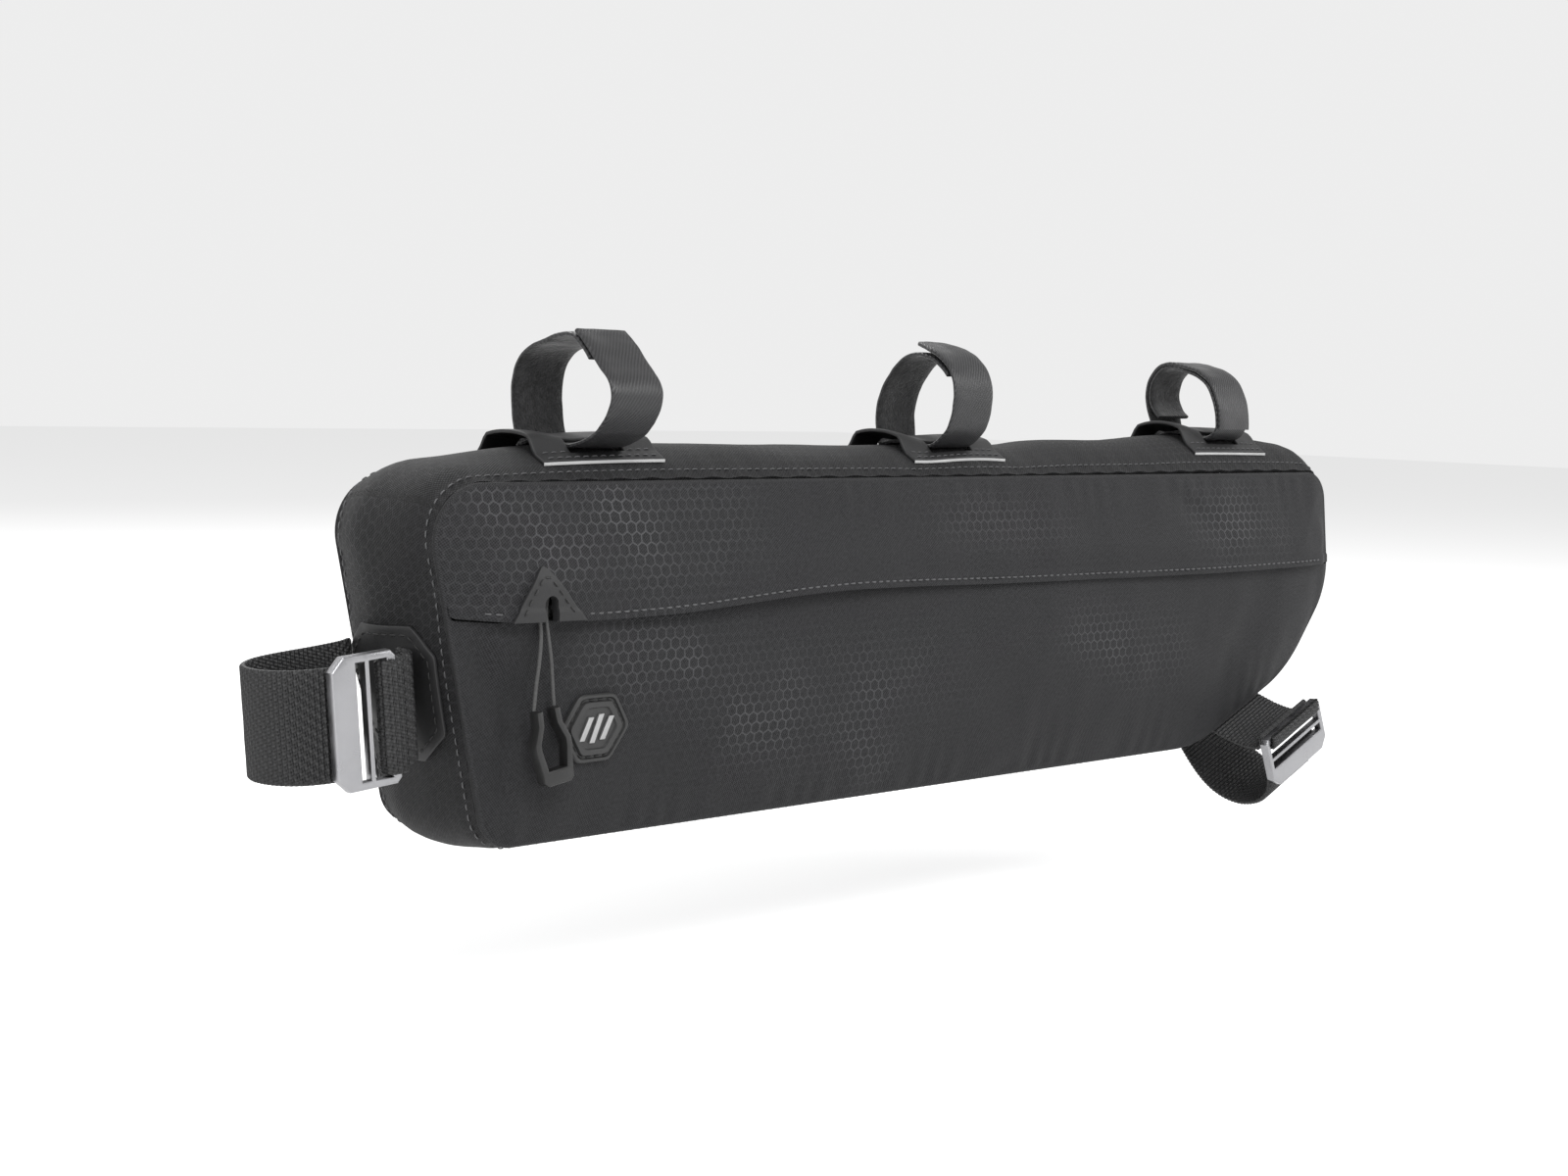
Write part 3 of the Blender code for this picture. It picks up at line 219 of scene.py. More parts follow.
# Dents of the band. round is a share of the way round the outline from the rear top corner, across is
# a share of BAG_WIDTH, depth and reach are shares of BAG_WIDTH
BAND_DENTS = (
    # round from, across from, round to, across to, reach, depth
    (0.985, 0.10, 0.955, 0.36, 0.09, 0.050),
    (0.958, 0.62, 0.950, 0.95, 0.12, -0.035),
    (0.195, 0.15, 0.215, 0.50, 0.10, 0.020),
    (0.245, 0.20, 0.262, 0.60, 0.10, 0.022),
)

# Top straps. turn is in degrees from the zip side upwards, reach is a share of LOOP_RADIUS for the
# strap's middle, and layer says how many strap thicknesses it lies outside that
REAR_LOOP = (
    # turn, reach, layer
    (58, 0.92, 1),
    (46, 0.93, 1),
    (33, 0.97, 1),
    (22, 1.02, 1),
    (12, 1.18, 0.6),
    (4, 1.36, 0.3),
    (-4, 1.46, 0),
    (-13, 1.44, 0),
    (-24, 1.36, 0),
    (-36, 1.27, 0),
    ("tunnel", 0, 0),
    (-135, 1.24, 0),
    (-145, 1.16, 0),
    (-158, 1.08, 0),
    (-173, 1.03, 0),
    (-188, 1.01, 0),
    (-203, 0.96, 0),
    (-218, 0.88, 0),
    (-235, 0.78, 0),
    (-252, 0.72, 0),
    (-270, 0.76, 0),
    (-288, 0.85, 0),
    (-302, 0.92, 0),
    (-314, 0.93, 0),
    (-326, 0.96, 0),
    (-334, 0.98, 0),
)
MIDDLE_LOOP = (
    (98, 0.83, 1),
    (90, 0.80, 1),
    (75, 0.77, 1),
    (60, 0.78, 1),
    (45, 0.82, 1),
    (30, 0.86, 1),
    (15, 0.90, 0.9),
    (0, 0.94, 0.4),
    (-13, 0.98, 0),
    (-28, 1.01, 0),
    (-39, 1.04, 0),
    ("tunnel", 0, 0),
    (-141, 1.14, 0),
    (-149, 1.05, 0),
    (-158, 0.99, 0),
    (-172, 0.88, 0),
    (-187, 0.79, 0),
    (-204, 0.71, 0),
    (-227, 0.69, 0),
    (-252, 0.71, 0),
    (-270, 0.72, 0),
    (-288, 0.73, 0),
    (-305, 0.76, 0),
    (-322, 0.81, 0),
    (-336, 0.85, 0),
)
FRONT_LOOP = (
    (206, 0.90, -1),
    (196, 0.99, -1),
    (180, 1.09, -1),
    (162, 1.11, -1),
    (146, 1.08, -1),
    (130, 0.98, -1),
    (112, 0.76, -1),
    (95, 0.66, -1),
    (75, 0.62, -1),
    (55, 0.61, -1),
    (35, 0.62, -1),
    (15, 0.64, -1),
    (-5, 0.72, -1),
    (-24, 0.84, -1),
    (-40, 1.00, -0.8),
    ("tunnel", 0, 0),
    (-141, 1.14, 0),
    (-152, 1.03, 0),
    (-165, 1.04, 0),
    (-180, 1.09, 0),
    (-198, 1.11, 0),
    (-214, 1.08, 0),
    (-230, 0.98, 0),
    (-248, 0.76, 0),
    (-265, 0.66, 0),
    (-285, 0.62, 0),
    (-305, 0.61, 0),
    (-325, 0.62, 0),
    (-345, 0.64, 0),
    (-365, 0.72, 0),
    (-384, 0.84, 0),
    (-396, 0.94, 0.2),
)

# Seat tube webbing, seen from above. out is a share of SEAT_LOOP_REACH, across is a share of BAG_WIDTH
SEAT_STRAP = (
    # out, across
    (0.56, 0.13),
    (0.70, 0.12),
    (0.84, 0.17),
    (0.95, 0.28),
    (1.00, 0.46),
    (0.95, 0.64),
    (0.80, 0.76),
    (0.60, 0.79),
    (0.38, 0.79),
    (0.14, 0.82),
    (0.06, 0.87),
)
SEAT_TAB = (
    (0.07, 0.36),
    (0.08, 0.27),
    (0.11, 0.19),
)

# Down tube webbing, seen along the sloping lower edge. out is a share of DOWN_LOOP_REACH, swing is a
# share of DOWN_LOOP_SWING before the zip side, and across a share of BAG_WIDTH behind it
DOWN_STRAP = (
    # out, swing, across
    (0.41, 0.98, 0),
    (0.55, 0.97, 0),
    (0.68, 0.93, 0),
    (0.82, 0.80, 0),
    (0.93, 0.52, 0),
    (0.98, 0.16, 0),
    (0.95, 0, 0.10),
    (0.82, 0, 0.24),
    (0.64, 0, 0.33),
    (0.46, 0, 0.39),
    (0.28, 0, 0.44),
    (0.13, 0, 0.50),
)
DOWN_TAB = (
    (0.07, 0, 0.10),
    (0.14, 0.02, 0),
    (0.21, 0.35, 0),
    (0.24, 0.70, 0),
    (0.22, 0.92, 0),
)

# How a tab goes round its buckle's bar, in shares of its distance from the bar's middle
TAB_WRAP = (
    # out, towards the bag's middle
    (-0.70, 1.0),
    (0.50, 1.0),
    (1.00, 0.6),
    (1.00, -0.6),
    (0.50, -1.0),
    (-0.90, -1.0),
)

# How finely the outline and routes are divided
CORNER_CUTS = 3
ARC_STEPS = 24


def unit(vector):
    """The vector at length 1."""
    return vector / np.linalg.norm(vector)


def smooth(start, end, value):
    """0 up to start, 1 from end on, and an even rise between them."""
    t = np.clip((value - start) / (end - start), 0, 1)
    return t * t * (3 - 2 * t)


def spline(places, values, at):
    """Values read from a smooth curve through them, which has no overshoot at the ends."""
    places, values = np.asarray(places, float), np.asarray(values, float)
    slopes = np.gradient(values, places, axis=0)
    at = np.clip(at, places[0], places[-1])
    i = np.clip(np.searchsorted(places, at, side="right") - 1, 0, len(places) - 2)
    step = places[i + 1] - places[i]
    t = (at - places[i]) / step
    if values.ndim > 1:
        t, step = t[:, None], step[:, None]
    return (
        (2 * t**3 - 3 * t**2 + 1) * values[i]
        + (t**3 - 2 * t**2 + t) * step * slopes[i]
        + (3 * t**2 - 2 * t**3) * values[i + 1]
        + (t**3 - t**2) * step * slopes[i + 1]
    )


def evenly(points, count):
    """The route through the points with its corners rounded off, read at evenly spaced places."""
    points = np.asarray(points, float)
    for _ in range(CORNER_CUTS):
        near = 0.75 * points[:-1] + 0.25 * points[1:]
        far = 0.25 * points[:-1] + 0.75 * points[1:]
        between = np.stack([near, far], axis=1).reshape(-1, points.shape[1])
        points = np.vstack([points[:1], between, points[-1:]])
    length = np.concatenate([[0], np.cumsum(np.linalg.norm(np.diff(points, axis=0), axis=1))])
    wanted = np.linspace(0, length[-1], count)
    return np.stack([np.interp(wanted, length, points[:, k]) for k in range(points.shape[1])], axis=1)


def rounded_outline():
    """The big sides' outline as points (x, z), clockwise seen from the zip side, and each arc's middle."""
    corners = np.array([(REAR_X + along * BAG_LENGTH, -down * BAG_HEIGHT) for _, along, down, _ in OUTLINE])
    points, middles = [], {}
    for i, (name, _, _, share) in enumerate(OUTLINE):
        here = corners[i]
        back = unit(corners[i - 1] - here)
        ahead = unit(corners[(i + 1) % len(OUTLINE)] - here)
        half = math.acos(float(back @ ahead)) / 2
        radius = share * BAG_HEIGHT
        centre = here + unit(back + ahead) * radius / math.sin(half)
        start = here + back * radius / math.tan(half) - centre
        end = here + ahead * radius / math.tan(half) - centre
        turn = math.pi - 2 * half
        for k in range(ARC_STEPS + 1):
            t = k / ARC_STEPS
            arm = (start * math.sin((1 - t) * turn) + end * math.sin(t * turn)) / math.sin(turn)
            points.append(centre + arm)
            if k == ARC_STEPS // 2:
                middles[name] = len(points) - 1
    return np.array(points), middles


OUTLINE_POINTS, ARC_MIDDLES = rounded_outline()
CLOSED = np.vstack([OUTLINE_POINTS, OUTLINE_POINTS[:1]])
ROUND = np.concatenate([[0], np.cumsum(np.linalg.norm(np.diff(CLOSED, axis=0), axis=1))])
LAP = ROUND[-1]


def on_outline(places):
    """The outline's points (x, z) at these distances round it."""
    places = np.mod(places, LAP)
    return np.stack([np.interp(places, ROUND, CLOSED[:, k]) for k in range(2)], axis=-1)


def outward(places):
    """The outline's normals there, pointing out of the bag."""
    reach = LAP / 400
    along = on_outline(np.asarray(places) + reach) - on_outline(np.asarray(places) - reach)
    normal = np.stack([-along[..., 1], along[..., 0]], axis=-1)
    return normal / np.linalg.norm(normal, axis=-1, keepdims=True)


def arc_middle(name):
    """The distance round the outline of a corner's middle."""
    return ROUND[ARC_MIDDLES[name]]


def stretch(start, end, count):
    """Evenly spaced points of the outline from one distance on to another, the short way ahead."""
    return on_outline(start + np.linspace(0, (end - start) % LAP, count))


def place_at_height(z, start, end):
    """The distance round the outline, between two others, at which it passes a height."""
    places = start + np.linspace(0, (end - start) % LAP, 400)
    heights = on_outline(places)[:, 1]
    return places[np.argmin(np.abs(heights - z))]


def seam_distance(x, z):
    """The distance from points of a big side to its seam."""
    here = np.stack([x, z], axis=-1)[..., None, :]
    start, end = CLOSED[:-1], CLOSED[1:]
    run = end - start
    t = np.clip(((here - start) * run).sum(-1) / (run * run).sum(-1), 0, 1)
    return np.linalg.norm(here - start - t[..., None] * run, axis=-1).min(-1)


def ridge(a, b, start, end, reach):
    """1 along the line from start to end, falling to 0 beside it and beyond its ends."""
    start, end = np.array(start), np.array(end)
    run = end - start
    t = ((a - start[0]) * run[0] + (b - start[1]) * run[1]) / (run @ run)
    near = np.clip(t, 0, 1)
    off = np.hypot(a - start[0] - near * run[0], b - start[1] - near * run[1])
    return np.exp(-((off / reach) ** 2)) * (0.55 + 0.45 * np.sin(math.pi * near))


def side_bulge(x, z, folds):
    """How far a big side stands out at (x, z)."""
    x, z = np.broadcast_arrays(x, z)
    depth = seam_distance(x, z)
    rise = 1 - (1 - np.clip(depth / BULGE_REACH, 0, 1)) ** 2.4
    out = PANEL_BULGE * rise
    hold = smooth(0, 0.25 * BULGE_REACH, depth)
    for along_a, down_a, along_b, down_b, reach, share in folds:
        start = (REAR_X + along_a * BAG_LENGTH, -down_a * BAG_HEIGHT)
        end = (REAR_X + along_b * BAG_LENGTH, -down_b * BAG_HEIGHT)
        out = out - share * PANEL_BULGE * hold * ridge(x, z, start, end, reach * BAG_HEIGHT)
    return out


def flap_edge(x):
    """The height of the flap's free edge."""
    table = np.array(FLAP_EDGE)
    return -spline(table[:, 0], table[:, 1], (x - REAR_X) / BAG_LENGTH) * BAG_HEIGHT


def flap_lift(x, z):
    """How far the flap stands off the surface that the lower panel would have there."""
    start = on_outline(FLAP_REAR)[0] + 0.3 * FLAP_END_BLEND
    end = on_outline(FLAP_FRONT)[0] - 0.3 * FLAP_END_BLEND
    ends = smooth(start, start + FLAP_END_BLEND, x) * (1 - smooth(end - FLAP_END_BLEND, end, x))
    over = z - flap_edge(x)
    return FLAP_LIFT * ends * (1 - smooth(0.45 * FLAP_BLEND, 1.1 * FLAP_BLEND, over))


def zip_side(x, z):
    """The zip side's outer surface below the flap, as y in the bag's frame."""
    return -side_bulge(x, z, ZIP_SIDE_FOLDS)


def flap_side(x, z):
    """The same above the zip, with the flap's lift."""
    return zip_side(x, z) - flap_lift(x, z)


FLAP_REAR = place_at_height(-FLAP_EDGE[0][1] * BAG_HEIGHT, arc_middle("rear_bottom"), arc_middle("rear_top"))
FLAP_FRONT = place_at_height(-FLAP_EDGE[-1][1] * BAG_HEIGHT, arc_middle("front_top"), arc_middle("front_lower"))
SLIDER_X = REAR_X + SLIDER_FROM_REAR


def band_crown(places):
    """How far the band stands out of the outline at mid width, at these distances round it."""
    normal = outward(places)
    x = on_outline(places)[..., 0]
    table = np.array(TOP_SAG)
    sag = spline(table[:, 0], table[:, 1], np.clip((x - REAR_X) / BAG_LENGTH, 0, 1))
    above, below = np.clip(normal[..., 1], 0, 1) ** 2, np.clip(-normal[..., 1], 0, 1) ** 2
    behind, ahead = np.clip(-normal[..., 0], 0, 1) ** 2, np.clip(normal[..., 0], 0, 1) ** 2
    return TOP_CROWN * sag * above + BOTTOM_CROWN * below + REAR_CROWN * behind + FRONT_CROWN * ahead


def arch(across):
    """The band's rounded profile over its width, from 0 at a seam to 1 in the middle."""
    return 1 - np.abs(2 * across - 1) ** 2.3


def band_point(places, across, above=0.0):
    """Points (x, y, z) of the band's outer surface, or as far above it as asked."""
    places, across = np.broadcast_arrays(np.asarray(places, float), np.asarray(across, float))
    base, normal = on_outline(places), outward(places)
    out = band_crown(places) * arch(across)
    rounds = np.mod(places - arc_middle("rear_top"), LAP) / LAP
    hold = smooth(0, 0.12, across) * smooth(0, 0.12, 1 - across)
    for round_a, across_a, round_b, across_b, reach, depth in BAND_DENTS:
        a, b = rounds * LAP / BAG_WIDTH, across
        start = (round_a * LAP / BAG_WIDTH, across_a)
        end = (round_b * LAP / BAG_WIDTH, across_b)
        out = out - depth * BAG_WIDTH * hold * ridge(a, b, start, end, 2 * reach)
    out = out + above
    flat = base + normal * out[..., None]
    return np.stack([flat[..., 0], across * BAG_WIDTH, flat[..., 1]], axis=-1)


def top_height(x, y):
    """The band's height above the top seam, on its straight top stretch."""
    place = arc_middle("rear_top") + (x - on_outline(arc_middle("rear_top"))[0])
    return band_point(place, y / BAG_WIDTH)[..., 2]


def placed(points):
    """Points of the bag's own frame, from the top seam of the zip side, in the part's frame."""
    return np.asarray(points, float) - np.array([0, FRONT_TO_AXIS, AXIS_ABOVE_SEAM])


def coons(left, right, bottom, top):
    """A grid of points inside four edges that meet at their ends."""
    rows, columns = len(left), len(bottom)
    v = np.linspace(0, 1, rows)[:, None, None]
    u = np.linspace(0, 1, columns)[None, :, None]
    across = left[:, None] * (1 - u) + right[:, None] * u
    up = bottom[None] * (1 - v) + top[None] * v
    corners = (
        bottom[0] * (1 - u) * (1 - v) + bottom[-1] * u * (1 - v) + top[0] * (1 - u) * v + top[-1] * u * v
    )
    return across + up - corners


def slots():
    """The two slots' places across the bag."""
    front = ANCHOR_INSET + ANCHOR_BAND + STRAP_THICKNESS / 2 + SLOT_CLEARANCE
    return front, BAG_WIDTH - front


def rear_end(down):
    """The distance round the outline of a point of the rear end, measured down it from the top seam."""
    return arc_middle("rear_top") - down


def seat_frame():
    """The seat tube webbing's frame: its foot on the rear end, the way out of the bag and the way down."""
    foot = band_point(rear_end(REAR_PATCH_DROP + SEAT_STRAP_BELOW), 0.5) * np.array([1, 0, 1])
    slant = math.radians(SEAT_STRAP_SLANT)
    out = np.array([-math.cos(slant), 0, -math.sin(slant)])
    return foot, out, np.array([-out[2], 0, out[0]])


def down_frame():
    """The down tube webbing's frame: its foot on the sloping edge, the way out and the way along it."""
    place = 0.5 * (arc_middle("front_lower") + arc_middle("front_bottom"))
    base, out = on_outline(place), outward(place)
    return np.array([base[0], 0, base[1]]), np.array([out[0], 0, out[1]]), np.array([-out[1], 0, out[0]])


def seat_point(out, across):
    """A point of the seat tube webbing's middle line, as distances out and across."""
    return np.array([out * SEAT_LOOP_REACH, across * BAG_WIDTH])


def down_point(out, swing, across):
    """The same for the down tube webbing."""
    return np.array([out * DOWN_LOOP_REACH, across * BAG_WIDTH - swing * DOWN_LOOP_SWING])


def slider_place():
    """The middle of the cord's turn round the slider's post: x, z and the zip side's y there."""
    z = flap_edge(np.array([SLIDER_X]))[0] + NOTCH_HEIGHT + CORD_BEND
    return SLIDER_X, z, zip_side(np.array([SLIDER_X]), np.array([z]))[0]


def pull_top():
    """The height of the puller's leg tops, and the most that the zip side stands out behind them."""
    z = flap_edge(np.array([SLIDER_X]))[0] - CORD_DROP
    x = SLIDER_X + np.linspace(-PULL_WIDTH / 2, PULL_WIDTH / 2, 5)
    return z, zip_side(x, np.full(5, z)).min()


# Camera, fitted to the photograph
CAMERA_PLACE = (-0.6248, -0.5693, 0.0034)
CAMERA_YAW = 44.16  # degrees from +Y towards +X
CAMERA_PITCH = 5.07  # degrees down
CAMERA_ROLL = 1.6
CAMERA_LENS = 53.6
CAMERA_SENSOR = 36

# Cloth detail, in metres
HEX_PITCH = 0.0038
WEAVE_PITCH = 0.0007
STITCH_PITCH = 0.0034
STITCH_LENGTH = 0.0024
STITCH_RADIUS = 0.00028
SEAM_RADIUS = 0.0011
SEAM_LAP = 0.0004  # how far the band reaches under the side panels
SEAM_STITCH_OFFSET = 0.0042
PUCKER = 0.00035
PUCKER_PITCH = 0.013
CLOTH_SPECULAR = 0.2
SOFTNESS = 0.0006  # depth of the cloth's fine unevenness
RIB_PITCH = 0.0015
RIB_DEPTH = 0.0003

# Painted highlight: zones where the cloth's honeycomb lines are painted lighter, standing in for where they catch the
# light. along is a share of BAG_LENGTH, down and reach are shares of BAG_HEIGHT
HONEYCOMB_HIGHLIGHT_ZONES = (
    # along from, down from, along to, down to, reach, strength
    (0.02, 0.12, 0.22, 0.12, 0.20, 1.0),
    (0.14, 0.46, 0.40, 0.84, 0.17, 0.9),
    (0.30, 0.62, 0.48, 0.66, 0.16, 0.6),
    (0.62, 0.56, 0.74, 0.64, 0.13, 0.7),
    (0.80, 0.14, 0.88, 0.22, 0.14, 0.7),
    (0.44, 0.10, 0.60, 0.16, 0.09, 0.4),
)


class Graph:
    """Short calls for a material's nodes."""

    def __init__(self, tree):
        self.tree = tree

    def put(self, kind, inputs, out=0, **settings):
        made = self.tree.nodes.new(kind)
        for key, value in settings.items():
            setattr(made, key, value)
        for key, value in inputs.items():
            if isinstance(value, bpy.types.NodeSocket):
                self.tree.links.new(value, made.inputs[key])
            else:
                made.inputs[key].default_value = value
        return made.outputs[out]

    def math(self, operation, a, b=0.0, c=0.0):
        return self.put("ShaderNodeMath", {0: a, 1: b, 2: c}, operation=operation)

    def vector(self, operation, a, b=(0, 0, 0), c=(0, 0, 0), out=0):
        return self.put("ShaderNodeVectorMath", {0: a, 1: b, 2: c}, out, operation=operation)

    def rise(self, value, low, high, start=0.0, end=1.0):
        inputs = {"Value": value, "From Min": low, "From Max": high, "To Min": start, "To Max": end}
        return self.put("ShaderNodeMapRange", inputs, interpolation_type="SMOOTHSTEP")

    def mix(self, share, a, b):
        inputs = {0: share, 6: (*a, 1) if isinstance(a, tuple) else a, 7: (*b, 1) if isinstance(b, tuple) else b}
        return self.put("ShaderNodeMix", inputs, 2, data_type="RGBA")

    def noise(self, where, scale, detail=2.0):
        return self.put("ShaderNodeTexNoise", {"Vector": where, "Scale": scale, "Detail": detail})

    def cloth_place(self):
        """The cloth's own coordinates, in metres."""
        return self.put("ShaderNodeUVMap", {}, uv_map="cloth")

    def solid_place(self):
        return self.put("ShaderNodeTexCoord", {}, "Object")


def material(name, roughness, metallic=0.0, specular=0.4):
    """A new Principled material, its node helper and its shader."""
    made = bpy.data.materials.new(name)
    made.use_nodes = True
    shader = made.node_tree.nodes["Principled BSDF"]
    shader.inputs["Roughness"].default_value = roughness
    shader.inputs["Metallic"].default_value = metallic
    shader.inputs["Specular IOR Level"].default_value = specular
    return made, Graph(made.node_tree), shader


def bump(graph, shader, height, distance, strength=1.0):
    """Gives a shader a bump from a height from 0 to 1, as deep as distance."""
    inputs = {"Height": height, "Distance": distance, "Strength": strength}
    graph.tree.links.new(graph.put("ShaderNodeBump", inputs), shader.inputs["Normal"])


def hexagons(graph, place, pitch):
    """How near a place is to the edge of its cell of a honeycomb: 0 in the middle, 0.5 on the edge."""
    scaled = graph.vector("SCALE", place)
    scaled.node.inputs["Scale"].default_value = 1 / pitch
    half = (0.5, math.sqrt(3) / 2, 1.0)
    low = tuple(-x for x in half)
    one = graph.vector("WRAP", scaled, half, low)
    other = graph.vector("WRAP", graph.vector("SUBTRACT", scaled, half), half, low)
    flat = (1.0, 1.0, 0.0)
    one, other = graph.vector("MULTIPLY", one, flat), graph.vector("MULTIPLY", other, flat)
    nearer = graph.math("LESS_THAN", graph.vector("LENGTH", one, out=1), graph.vector("LENGTH", other, out=1))
    cell = graph.put("ShaderNodeMix", {0: nearer, 4: other, 5: one}, 1, data_type="VECTOR")
    size = graph.vector("ABSOLUTE", cell)
    slant = graph.vector("DOT_PRODUCT", size, (0.5, math.sqrt(3) / 2, 0), out=1)
    upright = graph.vector("DOT_PRODUCT", size, (1, 0, 0), out=1)
    return graph.math("MAXIMUM", slant, upright)


def weave(graph, place, pitch, turn=0.6):
    """A fine crossed weave from 0 to 1."""
    parts = []
    for angle in (turn, turn + math.pi / 2):
        along = graph.vector("DOT_PRODUCT", place, (math.cos(angle), math.sin(angle), 0), out=1)
        parts.append(graph.math("SINE", graph.math("MULTIPLY", along, 2 * math.pi / pitch)))
    both = graph.math("ADD", parts[0], parts[1])
    return graph.math("MULTIPLY_ADD", both, 0.25, 0.5)


def bag_cloth(name, dark, light, plain=0.0):
    """Woven cloth with a honeycomb of glossier threads. Its lines are painted lighter, as a painted highlight, where
    its highlight zones are marked, and at the share plain everywhere.
    """
    made, graph, shader = material(name, 0.72, specular=CLOTH_SPECULAR)
    place = graph.cloth_place()
    line = graph.rise(hexagons(graph, place, HEX_PITCH), 0.39, 0.48)
    # The painted highlight's zones, read from the mesh's honeycomb attribute, and at least plain everywhere
    highlight_zone = graph.put("ShaderNodeAttribute", {}, "Fac", attribute_name="honeycomb")
    highlight_zone = graph.math("MAXIMUM", highlight_zone, plain)
    fine = weave(graph, place, WEAVE_PITCH)
    speckle = graph.noise(place, 900.0, 1.0)
    patchy = graph.rise(graph.noise(place, 22.0), 0.42, 0.62, 0.35, 1.0)
    painted_lit_lines = graph.math("MULTIPLY", graph.math("MULTIPLY", line, patchy), highlight_zone)
    tone = graph.math("MULTIPLY", graph.math("ADD", fine, speckle), 0.5)
    ground = graph.mix(graph.rise(tone, 0.3, 0.7), tuple(0.45 * x for x in dark), tuple(1.5 * x for x in dark))
    # Painted highlight: the honeycomb lines are painted towards the lighter colour inside the marked zones
    colour = graph.mix(graph.math("MULTIPLY", painted_lit_lines, 0.8), ground, light)
    graph.tree.links.new(colour, shader.inputs["Base Color"])
    rough = graph.math("MULTIPLY_ADD", painted_lit_lines, -0.26, 0.72)
    graph.tree.links.new(rough, shader.inputs["Roughness"])
    shader.inputs["Sheen Weight"].default_value = 0.03
    shader.inputs["Sheen Roughness"].default_value = 0.4
    height = graph.math("ADD", graph.math("MULTIPLY", fine, 0.6), graph.math("MULTIPLY", painted_lit_lines, 0.4))
    bump(graph, shader, height, 0.00022)
    return made


def coated(name, colour, roughness):
    """Smooth coated sheet with a faint grain."""
    made, graph, shader = material(name, roughness)
    place = graph.solid_place()
    grain = graph.noise(place, 2200.0, 2.0)
    smear = graph.noise(place, 90.0, 3.0)
    tone = graph.mix(smear, tuple(0.75 * x for x in colour), tuple(1.3 * x for x in colour))
    graph.tree.links.new(tone, shader.inputs["Base Color"])
    rough = graph.rise(smear, 0.3, 0.7, roughness - 0.06, roughness + 0.08)
    graph.tree.links.new(rough, shader.inputs["Roughness"])
    bump(graph, shader, grain, 0.00006)
    return made


def satin(name, colour):
    """The strap tape's outer face: a fine slanting twill with a sheen."""
    made, graph, shader = material(name, 0.45)
    place = graph.cloth_place()
    along = graph.vector("DOT_PRODUCT", place, (0.55, 0.83, 0), out=1)
    ridge_height = graph.math("SINE", graph.math("MULTIPLY", along, 2 * math.pi / 0.0011))
    ridge_height = graph.math("MULTIPLY_ADD", ridge_height, 0.5, 0.5)
    tone = graph.mix(ridge_height, tuple(0.6 * x for x in colour), tuple(1.35 * x for x in colour))
    graph.tree.links.new(tone, shader.inputs["Base Color"])
    shader.inputs["Anisotropic"].default_value = 0.4
    bump(graph, shader, ridge_height, 0.00012)
    return made


def pile(name, colour):
    """The strap tape's inner face: dense loop pile."""
    made, graph, shader = material(name, 0.95, specular=0.2)
    place = graph.solid_place()
    tufts = graph.noise(place, 1500.0, 3.0)
    clumps = graph.noise(place, 400.0, 2.0)
    height = graph.math("MULTIPLY", graph.math("ADD", tufts, clumps), 0.5)
    tone = graph.mix(graph.rise(height, 0.35, 0.65), tuple(0.25 * x for x in colour), tuple(1.8 * x for x in colour))
    graph.tree.links.new(tone, shader.inputs["Base Color"])
    shader.inputs["Sheen Weight"].default_value = 0.3
    bump(graph, shader, height, 0.0006)
    return made


def ribbed(name, colour):
    """Webbing, whose ribs are in its shape: lengthways threads with lighter tops."""
    made, graph, shader = material(name, 0.55)
    place = graph.cloth_place()
    threads = weave(graph, place, 0.0010, 0.35)
    tone = graph.mix(graph.rise(threads, 0.3, 0.8), tuple(0.35 * x for x in colour), tuple(1.7 * x for x in colour))
    graph.tree.links.new(tone, shader.inputs["Base Color"])
    bump(graph, shader, threads, 0.00025)
    return made


def metal(name, colour, roughness):
    """Bead-blasted alloy."""
    made, graph, shader = material(name, roughness, metallic=1.0)
    place = graph.solid_place()
    grain = graph.noise(place, 2600.0, 2.0)
    wear = graph.noise(place, 120.0, 4.0)
    graph.tree.links.new(
        graph.mix(wear, tuple(0.82 * x for x in colour), tuple(1.15 * x for x in colour)), shader.inputs["Base Color"]
    )
    rough = graph.rise(wear, 0.3, 0.7, roughness - 0.07, roughness + 0.08)
    graph.tree.links.new(rough, shader.inputs["Roughness"])
    bump(graph, shader, grain, 0.00004)
    return made


def thread(name, colour):
    """Sewing thread or cord with a twist."""
    made, graph, shader = material(name, 0.6)
    place = graph.solid_place()
    twist = graph.noise(place, 1800.0, 1.0)
    graph.tree.links.new(
        graph.mix(twist, tuple(0.5 * x for x in colour), tuple(1.6 * x for x in colour)), shader.inputs["Base Color"]
    )
    bump(graph, shader, twist, 0.0001)
    return made


def adopt(obj, nodes=()):
    """The piece rides the part's one body and stands for its CAD nodes."""
    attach(obj, "root")
    if nodes:
        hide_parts(*nodes)
    return obj


def mesh_object(name, points, faces, finishes, uv=None, face_finish=None, smooth_angle=40):
    """A mesh piece with its cloth coordinates, shaded smooth except at sharp edges."""
    data = bpy.data.meshes.new(name)
    data.from_pydata([tuple(p) for p in points], [], faces)
    if uv is not None:
        layer = data.uv_layers.new(name="cloth")
        corners = np.array([i for face in faces for i in face])
        layer.data.foreach_set("uv", np.asarray(uv, np.float32)[corners].ravel())
    for one in finishes:
        data.materials.append(one)
    if face_finish is not None:
        data.polygons.foreach_set("material_index", np.asarray(face_finish, np.int32))
    data.shade_smooth()
    obj = bpy.data.objects.new(name, data)
    bpy.context.scene.collection.objects.link(obj)
    if smooth_angle:
        split = obj.modifiers.new("Edges", "EDGE_SPLIT")
        split.split_angle = math.radians(smooth_angle)
    return obj


